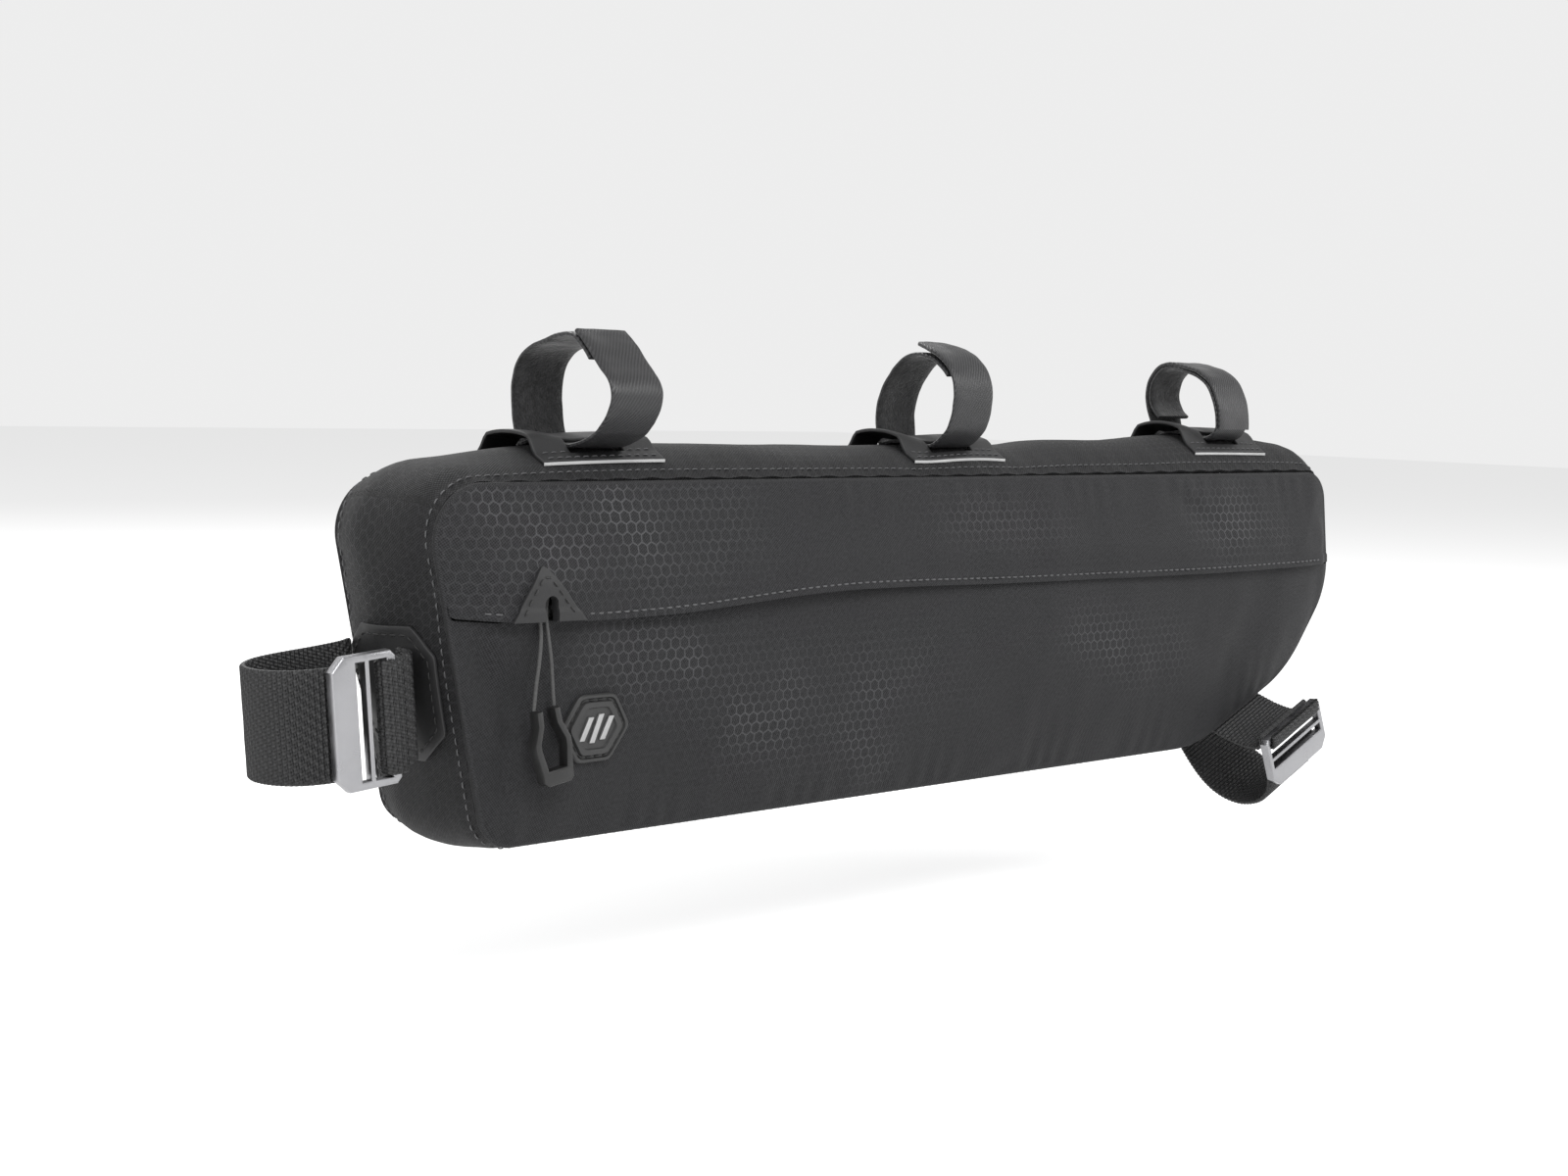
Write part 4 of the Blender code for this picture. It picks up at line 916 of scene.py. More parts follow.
def grid_faces(rows, columns, closed=False, skip=None):
    """The faces of a grid of points, row by row."""
    faces = []
    for r in range(rows - 1):
        for c in range(columns if closed else columns - 1):
            if skip and skip(r, c):
                continue
            n = (c + 1) % columns
            a, b = r * columns, (r + 1) * columns
            faces.append((a + c, a + n, b + n, b + c))
    return faces


def painted_honeycomb_highlight(flat):
    """How strongly the honeycomb's painted highlight shows at the places x, z of a big side."""
    x, z = flat[..., 0] - REAR_X, flat[..., 1]
    highlight_marks = np.zeros(x.shape)
    for along_a, down_a, along_b, down_b, reach, strength in HONEYCOMB_HIGHLIGHT_ZONES:
        a = (along_a * BAG_LENGTH, -down_a * BAG_HEIGHT)
        b = (along_b * BAG_LENGTH, -down_b * BAG_HEIGHT)
        highlight_marks = np.maximum(highlight_marks, strength * ridge(x, z, a, b, reach * BAG_HEIGHT))
    return highlight_marks


def cloth(name, grid, wall, finish, uv, closed=False, skip=None, hem=0.0, highlight_marks=None):
    """A cloth piece from a grid of points of its outer surface, with its wall behind it."""
    rows, columns = grid.shape[:2]
    faces = grid_faces(rows, columns, closed, skip)
    obj = mesh_object(name, placed(grid).reshape(-1, 3), faces, [finish], uv.reshape(-1, 2), smooth_angle=0)
    if highlight_marks is not None:
        # The honeycomb's painted highlight zones, kept as a point attribute
        layer = obj.data.attributes.new("honeycomb", "FLOAT", "POINT")
        layer.data.foreach_set("value", np.asarray(highlight_marks, np.float32).ravel())
    loose = bmesh.new()
    loose.from_mesh(obj.data)
    bmesh.ops.delete(loose, geom=[v for v in loose.verts if not v.link_faces], context="VERTS")
    loose.to_mesh(obj.data)
    loose.free()
    solidify = obj.modifiers.new("Wall", "SOLIDIFY")
    solidify.thickness = wall
    solidify.offset = -1
    if hem:
        edges = obj.modifiers.new("Hem", "BEVEL")
        edges.width = hem
        edges.segments = 2
        edges.limit_method = "ANGLE"
        edges.angle_limit = math.radians(50)
    else:
        split = obj.modifiers.new("Edges", "EDGE_SPLIT")
        split.split_angle = math.radians(50)
    return obj


def uneven(grid, normal_axis, depth=SOFTNESS, scale=38.0, fade=None):
    """Fine unevenness of cloth, along one axis."""
    flat = grid.reshape(-1, 3)
    shift = np.array([noise.noise(Vector(p) * scale) + 0.5 * noise.noise(Vector(p) * scale * 2.3) for p in flat])
    shift = shift.reshape(grid.shape[:-1]) * depth
    if fade is not None:
        shift = shift * fade
    return grid + shift[..., None] * np.asarray(normal_axis)


def stitches(name, paths, finish):
    """Rows of short stitches: each path is its points and the outward normals there."""
    points, faces = [], []
    profile = 5
    for line, normals in paths:
        length = np.concatenate([[0], np.cumsum(np.linalg.norm(np.diff(line, axis=0), axis=1))])
        for start in np.arange(0.3 * STITCH_PITCH, length[-1] - STITCH_LENGTH, STITCH_PITCH):
            stations = start + STITCH_LENGTH * np.array([0.0, 0.2, 0.5, 0.8, 1.0])
            centre = np.stack([np.interp(stations, length, line[:, k]) for k in range(3)], axis=1)
            out = np.stack([np.interp(stations, length, normals[:, k]) for k in range(3)], axis=1)
            out /= np.linalg.norm(out, axis=1, keepdims=True)
            side = np.cross(unit(centre[-1] - centre[0]), out)
            swell = np.array([0.25, 0.9, 1.0, 0.9, 0.25])
            lift = np.array([-0.6, 0.35, 0.6, 0.35, -0.6])
            first = len(points)
            for i in range(5):
                middle = centre[i] + out[i] * lift[i] * STITCH_RADIUS
                for k in range(profile):
                    angle = 2 * math.pi * k / profile
                    arm = side[i] * math.cos(angle) * 1.3 + out[i] * math.sin(angle) * 0.8
                    points.append(middle + arm * STITCH_RADIUS * swell[i])
            for i in range(4):
                for k in range(profile):
                    n = (k + 1) % profile
                    a, b = first + i * profile, first + (i + 1) * profile
                    faces.append((a + k, a + n, b + n, b + k))
            faces.append(tuple(first + k for k in range(profile - 1, -1, -1)))
            faces.append(tuple(first + 4 * profile + k for k in range(profile)))
    obj = mesh_object(name, placed(np.array(points)), faces, [finish], smooth_angle=0)
    return adopt(obj)


def tube(name, line, radius, finish, closed=False, profile=8):
    """A round bead along a line of points."""
    rows = len(line)
    ahead = np.roll(line, -1, axis=0) - np.roll(line, 1, axis=0)
    if not closed:
        ahead[0], ahead[-1] = line[1] - line[0], line[-1] - line[-2]
    ahead /= np.linalg.norm(ahead, axis=1, keepdims=True)
    side = np.cross(ahead, np.array([0, 1.0, 0]))
    side /= np.linalg.norm(side, axis=1, keepdims=True)
    up = np.cross(side, ahead)
    angles = np.linspace(0, 2 * math.pi, profile, endpoint=False)
    ring = line[:, None] + radius * (
        side[:, None] * np.cos(angles)[None, :, None] + up[:, None] * np.sin(angles)[None, :, None]
    )
    total = rows + 1 if closed else rows
    if closed:
        ring = np.concatenate([ring, ring[:1]])
    faces = grid_faces(total, profile, closed=True)
    along = np.arange(total)[:, None] * np.ones(profile)[None] * 0.002
    uv = np.stack([along, np.ones((total, 1)) * angles[None] * radius], axis=-1)
    obj = mesh_object(name, placed(ring).reshape(-1, 3), faces, [finish], uv.reshape(-1, 2), smooth_angle=0)
    return adopt(obj)


def ribbon(name, line, axis, width, thickness, finishes, rib=None, wobble=0.0, across=7, taper=0.0):
    """A strap along a line: a rounded flat section carried along it, with both ends closed."""
    count = len(line)
    ahead = np.gradient(line, axis=0)
    ahead /= np.linalg.norm(ahead, axis=1, keepdims=True)
    axis = np.broadcast_to(axis, line.shape)
    normal = np.cross(ahead, axis)
    normal /= np.linalg.norm(normal, axis=1, keepdims=True)
    length = np.concatenate([[0], np.cumsum(np.linalg.norm(np.diff(line, axis=0), axis=1))])
    half, t = width / 2, thickness / 2
    flat = np.linspace(-1, 1, across) * (half - 0.7 * t)
    section = [(s, t) for s in flat] + [(half, 0.55 * t), (half, -0.55 * t)]
    section += [(s, -t) for s in flat[::-1]] + [(-half, -0.55 * t), (-half, 0.55 * t)]
    section = np.array(section)
    height = np.ones(count)
    if rib:
        height = 1 + rib / t * np.sin(2 * math.pi * length / RIB_PITCH)
    shrink = np.ones(count)
    if taper:
        shrink = np.minimum(1, 0.55 + 0.45 * np.sqrt(np.clip(np.minimum(length, 1e9) / taper, 0, 1)))
    points = (
        line[:, None]
        + axis[:, None] * (section[None, :, 0] * shrink[:, None])[..., None]
        + normal[:, None] * (section[None, :, 1] * height[:, None])[..., None]
    )
    if wobble:
        points = points + np.array(
            [[noise.noise(Vector(p) * 260) * wobble for p in row] for row in points]
        )[..., None] * normal[:, None]
    size = len(section)
    faces = grid_faces(count, size, closed=True)
    faces.append(tuple(range(size)))
    faces.append(tuple(range((count - 1) * size, count * size))[::-1])
    side = np.array([0 if (k < across or k >= 2 * across + 2) else 1 for k in range(size)])
    face_finish = np.concatenate([np.tile(side, count - 1), [0, 0]]) if len(finishes) > 1 else None
    uv = np.stack(
        [np.broadcast_to(length[:, None], (count, size)), np.broadcast_to(section[None, :, 0], (count, size))],
        axis=-1,
    )
    return mesh_object(
        name, placed(points).reshape(-1, 3), faces, finishes, uv.reshape(-1, 2), face_finish, smooth_angle=55
    )


def plate(name, outline, holes, thickness, finish, matrix, chamfer, segments=2):
    """A flat outline with holes, extruded and chamfered, its drawing plane carried by a matrix."""
    curve = bpy.data.curves.new(name, "CURVE")
    curve.dimensions = "2D"
    curve.fill_mode = "BOTH"
    curve.extrude = thickness / 2 - chamfer
    curve.bevel_depth = chamfer
    curve.bevel_resolution = segments
    curve.offset = -chamfer
    for loop in (outline, *holes):
        run = curve.splines.new("POLY")
        run.points.add(len(loop) - 1)
        for point, (x, z) in zip(run.points, loop):
            point.co = (x, z, 0, 1)
        run.use_cyclic_u = True
    drawn = bpy.data.objects.new(name, curve)
    bpy.context.scene.collection.objects.link(drawn)
    bpy.context.view_layer.update()
    data = bpy.data.meshes.new_from_object(drawn.evaluated_get(bpy.context.evaluated_depsgraph_get()))
    bpy.data.objects.remove(drawn)
    weld = bmesh.new()
    weld.from_mesh(data)
    bmesh.ops.remove_doubles(weld, verts=weld.verts, dist=1e-6)
    weld.transform(matrix)
    weld.to_mesh(data)
    weld.free()
    data.materials.clear()
    data.materials.append(finish)
    data.shade_smooth()
    obj = bpy.data.objects.new(name, data)
    bpy.context.scene.collection.objects.link(obj)
    split = obj.modifiers.new("Edges", "EDGE_SPLIT")
    split.split_angle = math.radians(28)
    return obj


def frame_matrix(place, right, up):
    """A matrix that puts a drawing's x along right and its y along up, at a place of the bag's frame."""
    right, up = unit(np.asarray(right, float)), unit(np.asarray(up, float))
    turn = np.eye(4)
    turn[:3, 0], turn[:3, 1], turn[:3, 2] = right, up, np.cross(right, up)
    turn[:3, 3] = placed(place)
    return Matrix(turn.tolist())


def camera_and_light():
    """The photograph's view, a pale floor and soft studio lights."""
    yaw, pitch, roll = (math.radians(a) for a in (CAMERA_YAW, CAMERA_PITCH, CAMERA_ROLL))
    ahead = Vector((math.sin(yaw) * math.cos(pitch), math.cos(yaw) * math.cos(pitch), -math.sin(pitch)))
    right = Vector((math.cos(yaw), -math.sin(yaw), 0))
    up = right.cross(ahead)
    tilted = math.cos(roll) * right + math.sin(roll) * up
    upright = -math.sin(roll) * right + math.cos(roll) * up
    data = bpy.data.cameras.new("camera")
    data.lens, data.sensor_width = CAMERA_LENS, CAMERA_SENSOR
    camera = bpy.data.objects.new("camera", data)
    camera.matrix_world = Matrix(
        [[tilted[k], upright[k], -ahead[k], CAMERA_PLACE[k]] for k in range(3)] + [[0, 0, 0, 1]]
    )
    bpy.context.scene.collection.objects.link(camera)
    bpy.context.scene.camera = camera
    floor_data = bpy.data.meshes.new("floor")
    floor_data.from_pydata([(-6, -6, 0), (6, -6, 0), (6, 6, 0), (-6, 6, 0)], [], [(0, 1, 2, 3)])
    floor = bpy.data.objects.new("floor", floor_data)
    floor.location.z = CAD_BOUNDS[0][2] - FLOOR_DROP
    bpy.context.scene.collection.objects.link(floor)
    pale, _, shader = material("floor", 0.9, specular=0.0)
    shader.inputs["Base Color"].default_value = (0.92, 0.92, 0.92, 1)
    floor_data.materials.append(pale)
    world = bpy.data.worlds.new("studio")
    world.use_nodes = True
    back = world.node_tree.nodes["Background"]
    back.inputs["Color"].default_value = (1, 1, 1, 1)
    back.inputs["Strength"].default_value = WORLD_STRENGTH
    bpy.context.scene.world = world
    for name, place, aim, size, power in LIGHTS:
        light_data = bpy.data.lights.new(name, "AREA")
        light_data.shape = "RECTANGLE"
        light_data.size, light_data.size_y = size
        light_data.energy = power
        light = bpy.data.objects.new(name, light_data)
        light.location = place
        light.rotation_euler = (Vector(aim) - Vector(place)).to_track_quat("-Z", "Y").to_euler()
        bpy.context.scene.collection.objects.link(light)
    bpy.context.scene.view_settings.view_transform = "Standard"


FLOOR_DROP = 0.03
WORLD_STRENGTH = 0.85
LIGHTS = (
    # name, place, aim, size, power
    ("key", (-0.55, -1.25, 1.15), (-0.02, 0, -0.05), (1.2, 0.7), 26),
    ("side", (1.3, -1.1, 0.6), (0.1, 0, -0.06), (0.9, 0.9), 12),
    ("back", (0.1, 1.3, 1.2), (0, 0, 0), (1.6, 0.6), 16),
    ("left", (-1.5, -0.2, 0.45), (-0.2, 0, -0.05), (0.7, 0.9), 7),
)

camera_and_light()


# Finishes
CLOTH = bag_cloth("charcoal_honeycomb_cloth", (0.0125, 0.0125, 0.0135), (0.058, 0.058, 0.061))
BAND = bag_cloth("black_band_cloth", (0.0085, 0.0085, 0.009), (0.034, 0.034, 0.036), plain=0.35)
HEM = bag_cloth("hem_cloth", (0.016, 0.016, 0.017), (0.04, 0.04, 0.042))
PATCH = coated("coated_patch", (0.011, 0.011, 0.0115), 0.55)
PATCH_EDGE = coated("cut_edge", (0.30, 0.30, 0.30), 0.7)
SATIN = satin("satin_tape", (0.016, 0.016, 0.017))
PILE = pile("loop_pile", (0.010, 0.010, 0.0105))
WEBBING = ribbed("ribbed_webbing", (0.009, 0.009, 0.0095))
BUCKLE = metal("blasted_alloy", (0.30, 0.30, 0.31), 0.34)
SLIDER = metal("enamelled_metal", (0.05, 0.05, 0.05), 0.4)
MOULDING = coated("dark_moulding", (0.011, 0.011, 0.011), 0.36)
RUBBER = coated("badge_rubber", (0.018, 0.018, 0.018), 0.5)
INLAY = metal("silver_inlay", (0.36, 0.36, 0.36), 0.5)
THREAD = thread("sewing_thread", (0.05, 0.05, 0.052))
DARK_THREAD = thread("dark_thread", (0.012, 0.012, 0.012))
CORD = thread("braided_cord", (0.035, 0.035, 0.035))
TAPE = ribbed("zip_tape", (0.010, 0.010, 0.010))


def carve(obj, outline, depth, matrix):
    """Cuts a drawn shape right through a piece, and keeps the cut mesh."""
    drawn = plate("carver", outline, (), depth, CLOTH, matrix, 0.00001, 0)
    drawn.modifiers.clear()
    cutting = obj.modifiers.new("Cut", "BOOLEAN")
    cutting.operation, cutting.object = "DIFFERENCE", drawn
    bpy.context.view_layer.update()
    graph = bpy.context.evaluated_depsgraph_get()
    data = bpy.data.meshes.new_from_object(obj.evaluated_get(graph))
    obj.modifiers.clear()
    obj.data = data
    bpy.data.objects.remove(drawn)
    split = obj.modifiers.new("Edges", "EDGE_SPLIT")
    split.split_angle = math.radians(50)
    return obj


def side_grid(flat, surface, sign=1.0, seed=0.0):
    """A big side's points from its flat grid, with puckers at the seam and fine unevenness."""
    x, z = flat[..., 0], flat[..., 1]
    y = surface(x, z)
    depth = seam_distance(x, z)
    near = np.exp(-depth / 0.009)
    wave = np.sin(2 * math.pi * x / PUCKER_PITCH + 3 * np.sin(9 * x / PUCKER_PITCH / 7 + seed))
    y = y + sign * PUCKER * wave * near * smooth(0, 0.002, depth)
    grid = np.stack([x, y, z], axis=-1)
    return uneven(grid, (0, sign, 0), fade=smooth(0, 0.006, depth))


def upper_surface(x, z):
    """The flap's side, with its doubled hem and its free edge's slow waves."""
    over = z - flap_edge(x)
    hem = 0.0006 * (1 - smooth(HEM_HEIGHT - 0.0006, HEM_HEIGHT + 0.0006, over))
    middle = smooth(0.05, 0.12, x - REAR_X) * (1 - smooth(0.30, 0.42, x - REAR_X))
    lift = 0.0016 * middle * (1 - smooth(0, 0.016, over)) * np.sin((x - REAR_X) * 16)
    return flap_side(x, z) - hem - lift


HEM_HEIGHT = 0.0038


def build_panels():
    rear, front = arc_middle("rear_top"), arc_middle("front_top")
    heel, nose = arc_middle("rear_bottom"), arc_middle("front_lower")
    columns, rows = 300, 46
    left, right = stretch(FLAP_REAR, rear, rows), stretch(front, FLAP_FRONT, rows)[::-1]
    top = stretch(rear, front, columns)
    x = np.linspace(left[0][0], right[0][0], columns)
    bottom = np.stack([x, flap_edge(x)], axis=1)
    bottom[0], bottom[-1] = left[0], right[0]
    flat = coons(left, right, bottom, top)
    points = side_grid(flat, upper_surface, 1.0)
    highlight_marks = painted_honeycomb_highlight(flat)
    upper = cloth("flap_side", points, PANEL_WALL, CLOTH, flat, hem=0.0007, highlight_marks=highlight_marks)
    z = flap_edge(np.array([SLIDER_X]))[0]
    middle = (SLIDER_X, flap_side(np.array([SLIDER_X]), np.array([z]))[0], z)
    matrix = frame_matrix(middle, *UPRIGHT)
    carve(upper, notch_outline(), 0.02, matrix)
    adopt(upper, ["upper_panel"])

    rows = 70
    left = stretch(heel, FLAP_REAR - GAP, rows)
    right = stretch(FLAP_FRONT + GAP, nose, rows)[::-1]
    bottom = stretch(nose, heel, columns)[::-1]
    x = np.linspace(left[-1][0], right[-1][0], columns)
    ends = smooth(1.4 * FLAP_END_BLEND, 3 * FLAP_END_BLEND, np.minimum(x - x[0], x[-1] - x))
    clear = smooth(0.6 * SLIDER_SIZE[0], 1.8 * SLIDER_SIZE[0], np.abs(x - SLIDER_X))
    top = np.stack([x, flap_edge(x) - 2 * GAP * (1 - ends) + TUCK * ends * clear], axis=1)
    top[0], top[-1] = left[-1], right[-1]
    flat = coons(left, right, bottom, top)
    points = side_grid(flat, zip_side, 1.0, 2.0)
    lower = cloth("lower_side", points, PANEL_WALL, CLOTH, flat, highlight_marks=painted_honeycomb_highlight(flat))
    adopt(lower, ["lower_panel"])

    columns, rows = 220, 60
    left, right = stretch(heel, rear, rows), stretch(front, nose, rows)[::-1]
    top, bottom = stretch(rear, front, columns), stretch(nose, heel, columns)[::-1]
    flat = coons(left, right, bottom, top)[:, ::-1]
    back = side_grid(flat, lambda x, z: BAG_WIDTH + side_bulge(x, z, BACK_SIDE_FOLDS), -1.0, 4.0)
    back = cloth("back_side", back, PANEL_WALL, CLOTH, flat, highlight_marks=painted_honeycomb_highlight(flat))
    adopt(back, ["back_panel"])

    x = np.linspace(REAR_X + 0.016, REAR_X + 0.965 * BAG_LENGTH, 200)
    edge = flap_edge(x) + 0.0022
    line = np.stack([x, upper_surface(x, edge) - 0.0001, edge], axis=1)
    keep = np.abs(x - SLIDER_X) > 0.5 * GARAGE_WIDTH
    out = np.broadcast_to([0, -1.0, 0], line.shape)
    split = np.argmax(~keep)
    after = len(x) - np.argmax(~keep[::-1])
    stitches("flap_stitches", [(line[:split], out[:split]), (line[after:], out[after:])], THREAD)


UPRIGHT = ((1, 0, 0), (0, 0, 1))  # a drawing's right and up, for one that faces the zip side


def notch_outline():
    """The slot in the flap and the garage: a round top, and its front side slightly slanted."""
    top = NOTCH_HEIGHT - NOTCH_WIDTH / 2
    outline = [(-0.4 * NOTCH_WIDTH, -0.006), (0.62 * NOTCH_WIDTH, -0.006), (0.60 * NOTCH_WIDTH, 0)]
    for k in range(11):
        angle = math.pi * k / 10
        outline.append((NOTCH_WIDTH * 0.46 * math.cos(angle), top + NOTCH_WIDTH / 2 * math.sin(angle)))
    return outline


def build_band():
    columns, rows = 560, 46
    edge = (PANEL_WALL - SEAM_LAP) / BAG_WIDTH
    across = np.linspace(edge, 1 - edge, rows)[:, None]
    places = arc_middle("rear_top") + np.linspace(0, LAP, columns, endpoint=False)[None]
    grid = band_point(places, across)
    normal = outward(places[0])
    out = np.stack([normal[:, 0], 0 * normal[:, 0], normal[:, 1]], axis=-1)[None]
    near = np.minimum(across, 1 - across) * BAG_WIDTH
    pucker = PUCKER * np.sin(2 * math.pi * places / PUCKER_PITCH) * np.exp(-near / 0.007)
    grid = grid + out * (pucker * smooth(0, 0.001, near))[..., None]
    grid = grid + out * band_waves(grid)[..., None]
    uv = np.stack(np.broadcast_arrays(places, across * BAG_WIDTH), axis=-1)
    band = cloth("band", grid, GUSSET_WALL, BAND, uv, closed=True)
    adopt(band, ["gusset"])
    rounds = np.linspace(0, LAP, 700, endpoint=False)
    flat, normal = on_outline(rounds), outward(rounds)
    paths = []
    for side, y in (("zip", 0.0), ("back", BAG_WIDTH)):
        inward = 1 if side == "zip" else -1
        base = flat + normal * (-0.15 * SEAM_RADIUS)
        line = np.stack([base[:, 0], np.full(len(base), y + inward * 0.9 * SEAM_RADIUS), base[:, 1]], axis=1)
        tube("seam_" + side, line, SEAM_RADIUS, HEM, closed=True, profile=10)
        across = SEAM_STITCH_OFFSET / BAG_WIDTH
        across = across if side == "zip" else 1 - across
        closed = np.append(rounds, LAP)
        row = band_point(closed, np.full(len(closed), across), 0.0001)
        out = outward(closed)
        paths.append((row, np.stack([out[:, 0], 0 * out[:, 0], out[:, 1]], axis=1)))
    stitches("band_stitches", paths, THREAD)


def band_waves(grid):
    """Slow unevenness of the band, none at its seams."""
    flat = grid.reshape(-1, 3)
    wave = np.array([noise.noise(Vector((p[0] * 26, p[1] * 60, p[2] * 26))) for p in flat])
    across = grid[..., 1] / BAG_WIDTH
    return wave.reshape(grid.shape[:-1]) * 0.0009 * smooth(0.04, 0.25, np.minimum(across, 1 - across))


def build_zip():
    start = on_outline(FLAP_REAR)[0] + TAPE_END_GAP
    end = on_outline(FLAP_FRONT)[0] - TAPE_END_GAP
    x = np.linspace(start, end, 160)[None]
    up = np.linspace(-0.15, 0.85, 8)[:, None] * TAPE_WIDTH
    z = flap_edge(x) + up
    y = zip_side(x, z) + PANEL_WALL + TAPE_DEPTH
    grid = np.stack([np.broadcast_to(x, z.shape), y, z], axis=-1)
    adopt(cloth("zip_tape_strip", grid, TAPE_THICKNESS, TAPE, grid[..., [0, 2]]), ["zip_tape"])

    rows, grid = 22, []
    edge = flap_edge(np.array([SLIDER_X]))[0] + GAP
    for t in np.linspace(0, 1, rows):
        half = garage_half(t)
        x = SLIDER_X - GARAGE_LEAN * t + np.linspace(-half, half, 25)
        z = np.full(25, edge + t * GARAGE_HEIGHT)
        y = upper_surface(x, np.full(25, edge + t * GARAGE_HEIGHT)) - GAP - GARAGE_THICKNESS
        grid.append(np.stack([x, y, z], axis=1))
    grid = np.array(grid)
    garage = cloth("garage", grid, GARAGE_THICKNESS, PATCH, grid[..., [0, 2]], hem=0.0004)
    z = flap_edge(np.array([SLIDER_X]))[0]
    middle = (SLIDER_X, flap_side(np.array([SLIDER_X]), np.array([z]))[0], z)
    matrix = frame_matrix(middle, *UPRIGHT)
    carve(garage, notch_outline(), 0.02, matrix)
    adopt(garage, ["zip_garage"])
    rise = np.linspace(0.06, 0.80, 30)
    half = np.array([garage_half(t) for t in rise]) - 0.0023
    z = edge + rise * GARAGE_HEIGHT
    middle = SLIDER_X - GARAGE_LEAN * rise
    line = np.concatenate([np.stack([middle - half, z], 1), np.stack([middle + half, z], 1)[::-1]])
    y = upper_surface(line[:, 0], line[:, 1]) - GAP - GARAGE_THICKNESS - 0.0001
    line = np.stack([line[:, 0], y, line[:, 1]], axis=1)
    stitches("garage_stitches", [(line, np.broadcast_to([0, -1.0, 0], line.shape))], DARK_THREAD)

    x, z, y = slider_place()
    width, thick, height = SLIDER_SIZE
    back = y + PANEL_WALL + SLIDER_DEPTH
    signs = ((1, 1), (-1, 1), (-1, -1), (1, -1))
    corners = [(a * width / 2, b * height / 2) for a, b in signs]
    matrix = frame_matrix((x, back - thick / 2, z), *UPRIGHT)
    slider = plate("slider", corners, (), thick, SLIDER, matrix, 0.0002)
    adopt(slider, ["zip_slider"])
    angles = np.linspace(0, 2 * math.pi, 16, endpoint=False)
    ring = [(POST_RADIUS * math.cos(a), POST_RADIUS * math.sin(a)) for a in angles]
    length = CORD_DIAMETER + 2 * GAP
    matrix = frame_matrix((x, back - thick - length / 2, z), *UPRIGHT)
    post = plate("post", ring, (), length, SLIDER, matrix, 0.0001)
    adopt(post)


def garage_half(t):
    """Half the garage's width at a share of its height."""
    return (GARAGE_WIDTH / 2 - 0.0014) * (1 - t) + 0.0014 * math.sqrt(max(0.02, 1 - t**6))


def build_pull():
    x, z, y = slider_place()
    edge = flap_edge(np.array([SLIDER_X]))[0]
    foot, foot_y = pull_top()
    leg = 0.55 * PULL_WIDTH / 2
    deep = y + PANEL_WALL + SLIDER_DEPTH - SLIDER_SIZE[1] - GAP - CORD_DIAMETER / 2
    proud = zip_side(np.array([SLIDER_X]), np.array([edge]))[0] - GAP - CORD_DIAMETER / 2
    half = cord_half(leg, foot, foot_y, edge, deep, proud)
    route = [(-side, y, z) for side, y, z in half]
    for k in range(7):
        angle = math.radians(195 - 35 * k)
        route.append((CORD_BEND * math.cos(angle), deep, z + CORD_BEND * math.sin(angle)))
    route += [(side, y, z) for side, y, z in half[::-1]]
    route = np.array(route) + np.array([x, 0, 0])
    tilt = math.radians(PULL_TILT)
    route[0, 2] -= leg * math.sin(tilt)
    route[-1, 2] += leg * math.sin(tilt)
    points = placed(evenly(route, 90))
    curve = bpy.data.curves.new("cord", "CURVE")
    curve.dimensions = "3D"
    curve.bevel_depth = CORD_DIAMETER / 2
    curve.bevel_resolution = 3
    curve.use_fill_caps = True
    run = curve.splines.new("POLY")
    run.points.add(len(points) - 1)
    for point, place in zip(run.points, points):
        point.co = (*place, 1)
    curve.materials.append(CORD)
    cord = bpy.data.objects.new("cord", curve)
    bpy.context.scene.collection.objects.link(cord)
    adopt(cord, ["pull_cord"])

    lean = math.asin(PULL_LEAN / PULL_HEIGHT)
    matrix = frame_matrix(
        (SLIDER_X, foot_y - PULL_DEPTH / 2 - SOFT_GAP, foot),
        (math.cos(tilt), 0, math.sin(tilt)),
        (-math.cos(lean) * math.sin(tilt), math.sin(lean), math.cos(lean) * math.cos(tilt)),
    )
    w, h = PULL_WIDTH / 2, PULL_HEIGHT
    outer = [(0.62 * w, 0), (0.66 * w, -0.20 * h), (0.98 * w, -0.42 * h), (0.98 * w, -0.52 * h)]
    outer += [(0.82 * w, -0.84 * h), (0.80 * w, -0.95 * h), (0.62 * w, -1.0 * h)]
    inner = [(0.62 * w - PULL_LEG, 0), (0.66 * w - PULL_LEG, -0.20 * h), (0.98 * w - PULL_LEG, -0.43 * h)]
    inner += [(0.98 * w - PULL_LEG, -0.52 * h), (0.80 * w - PULL_LEG, -0.80 * h)]
    loop = outer + [(-a, b) for a, b in outer[::-1]] + [(-a, b) for a, b in inner] + inner[::-1]
    pull = plate("puller", loop, (), PULL_DEPTH, MOULDING, matrix, 0.0004)
    adopt(pull, ["zip_pull"])


def cord_half(leg, foot, foot_y, edge, deep, proud):
    """One strand of the cord from the puller's leg up to the slider, as side, y and z."""
    start = foot_y - PULL_DEPTH / 2 - GAP
    return [
        (leg, start, foot + GAP),
        (0.85 * leg, 0.5 * start + 0.5 * proud - 0.0006, foot + 0.25 * (edge - foot)),
        (0.60 * leg, proud - 0.0016, foot + 0.55 * (edge - foot)),
        (0.36 * leg, proud - 0.0011, foot + 0.82 * (edge - foot)),
        (0.32 * leg, proud - 0.0004, edge - 0.0010),
        (0.34 * leg, 0.3 * proud + 0.7 * deep, edge + 0.35 * NOTCH_HEIGHT),
        (0.40 * leg, deep, edge + 0.60 * NOTCH_HEIGHT),
        (0.48 * leg, deep, edge + 0.85 * NOTCH_HEIGHT),
    ]


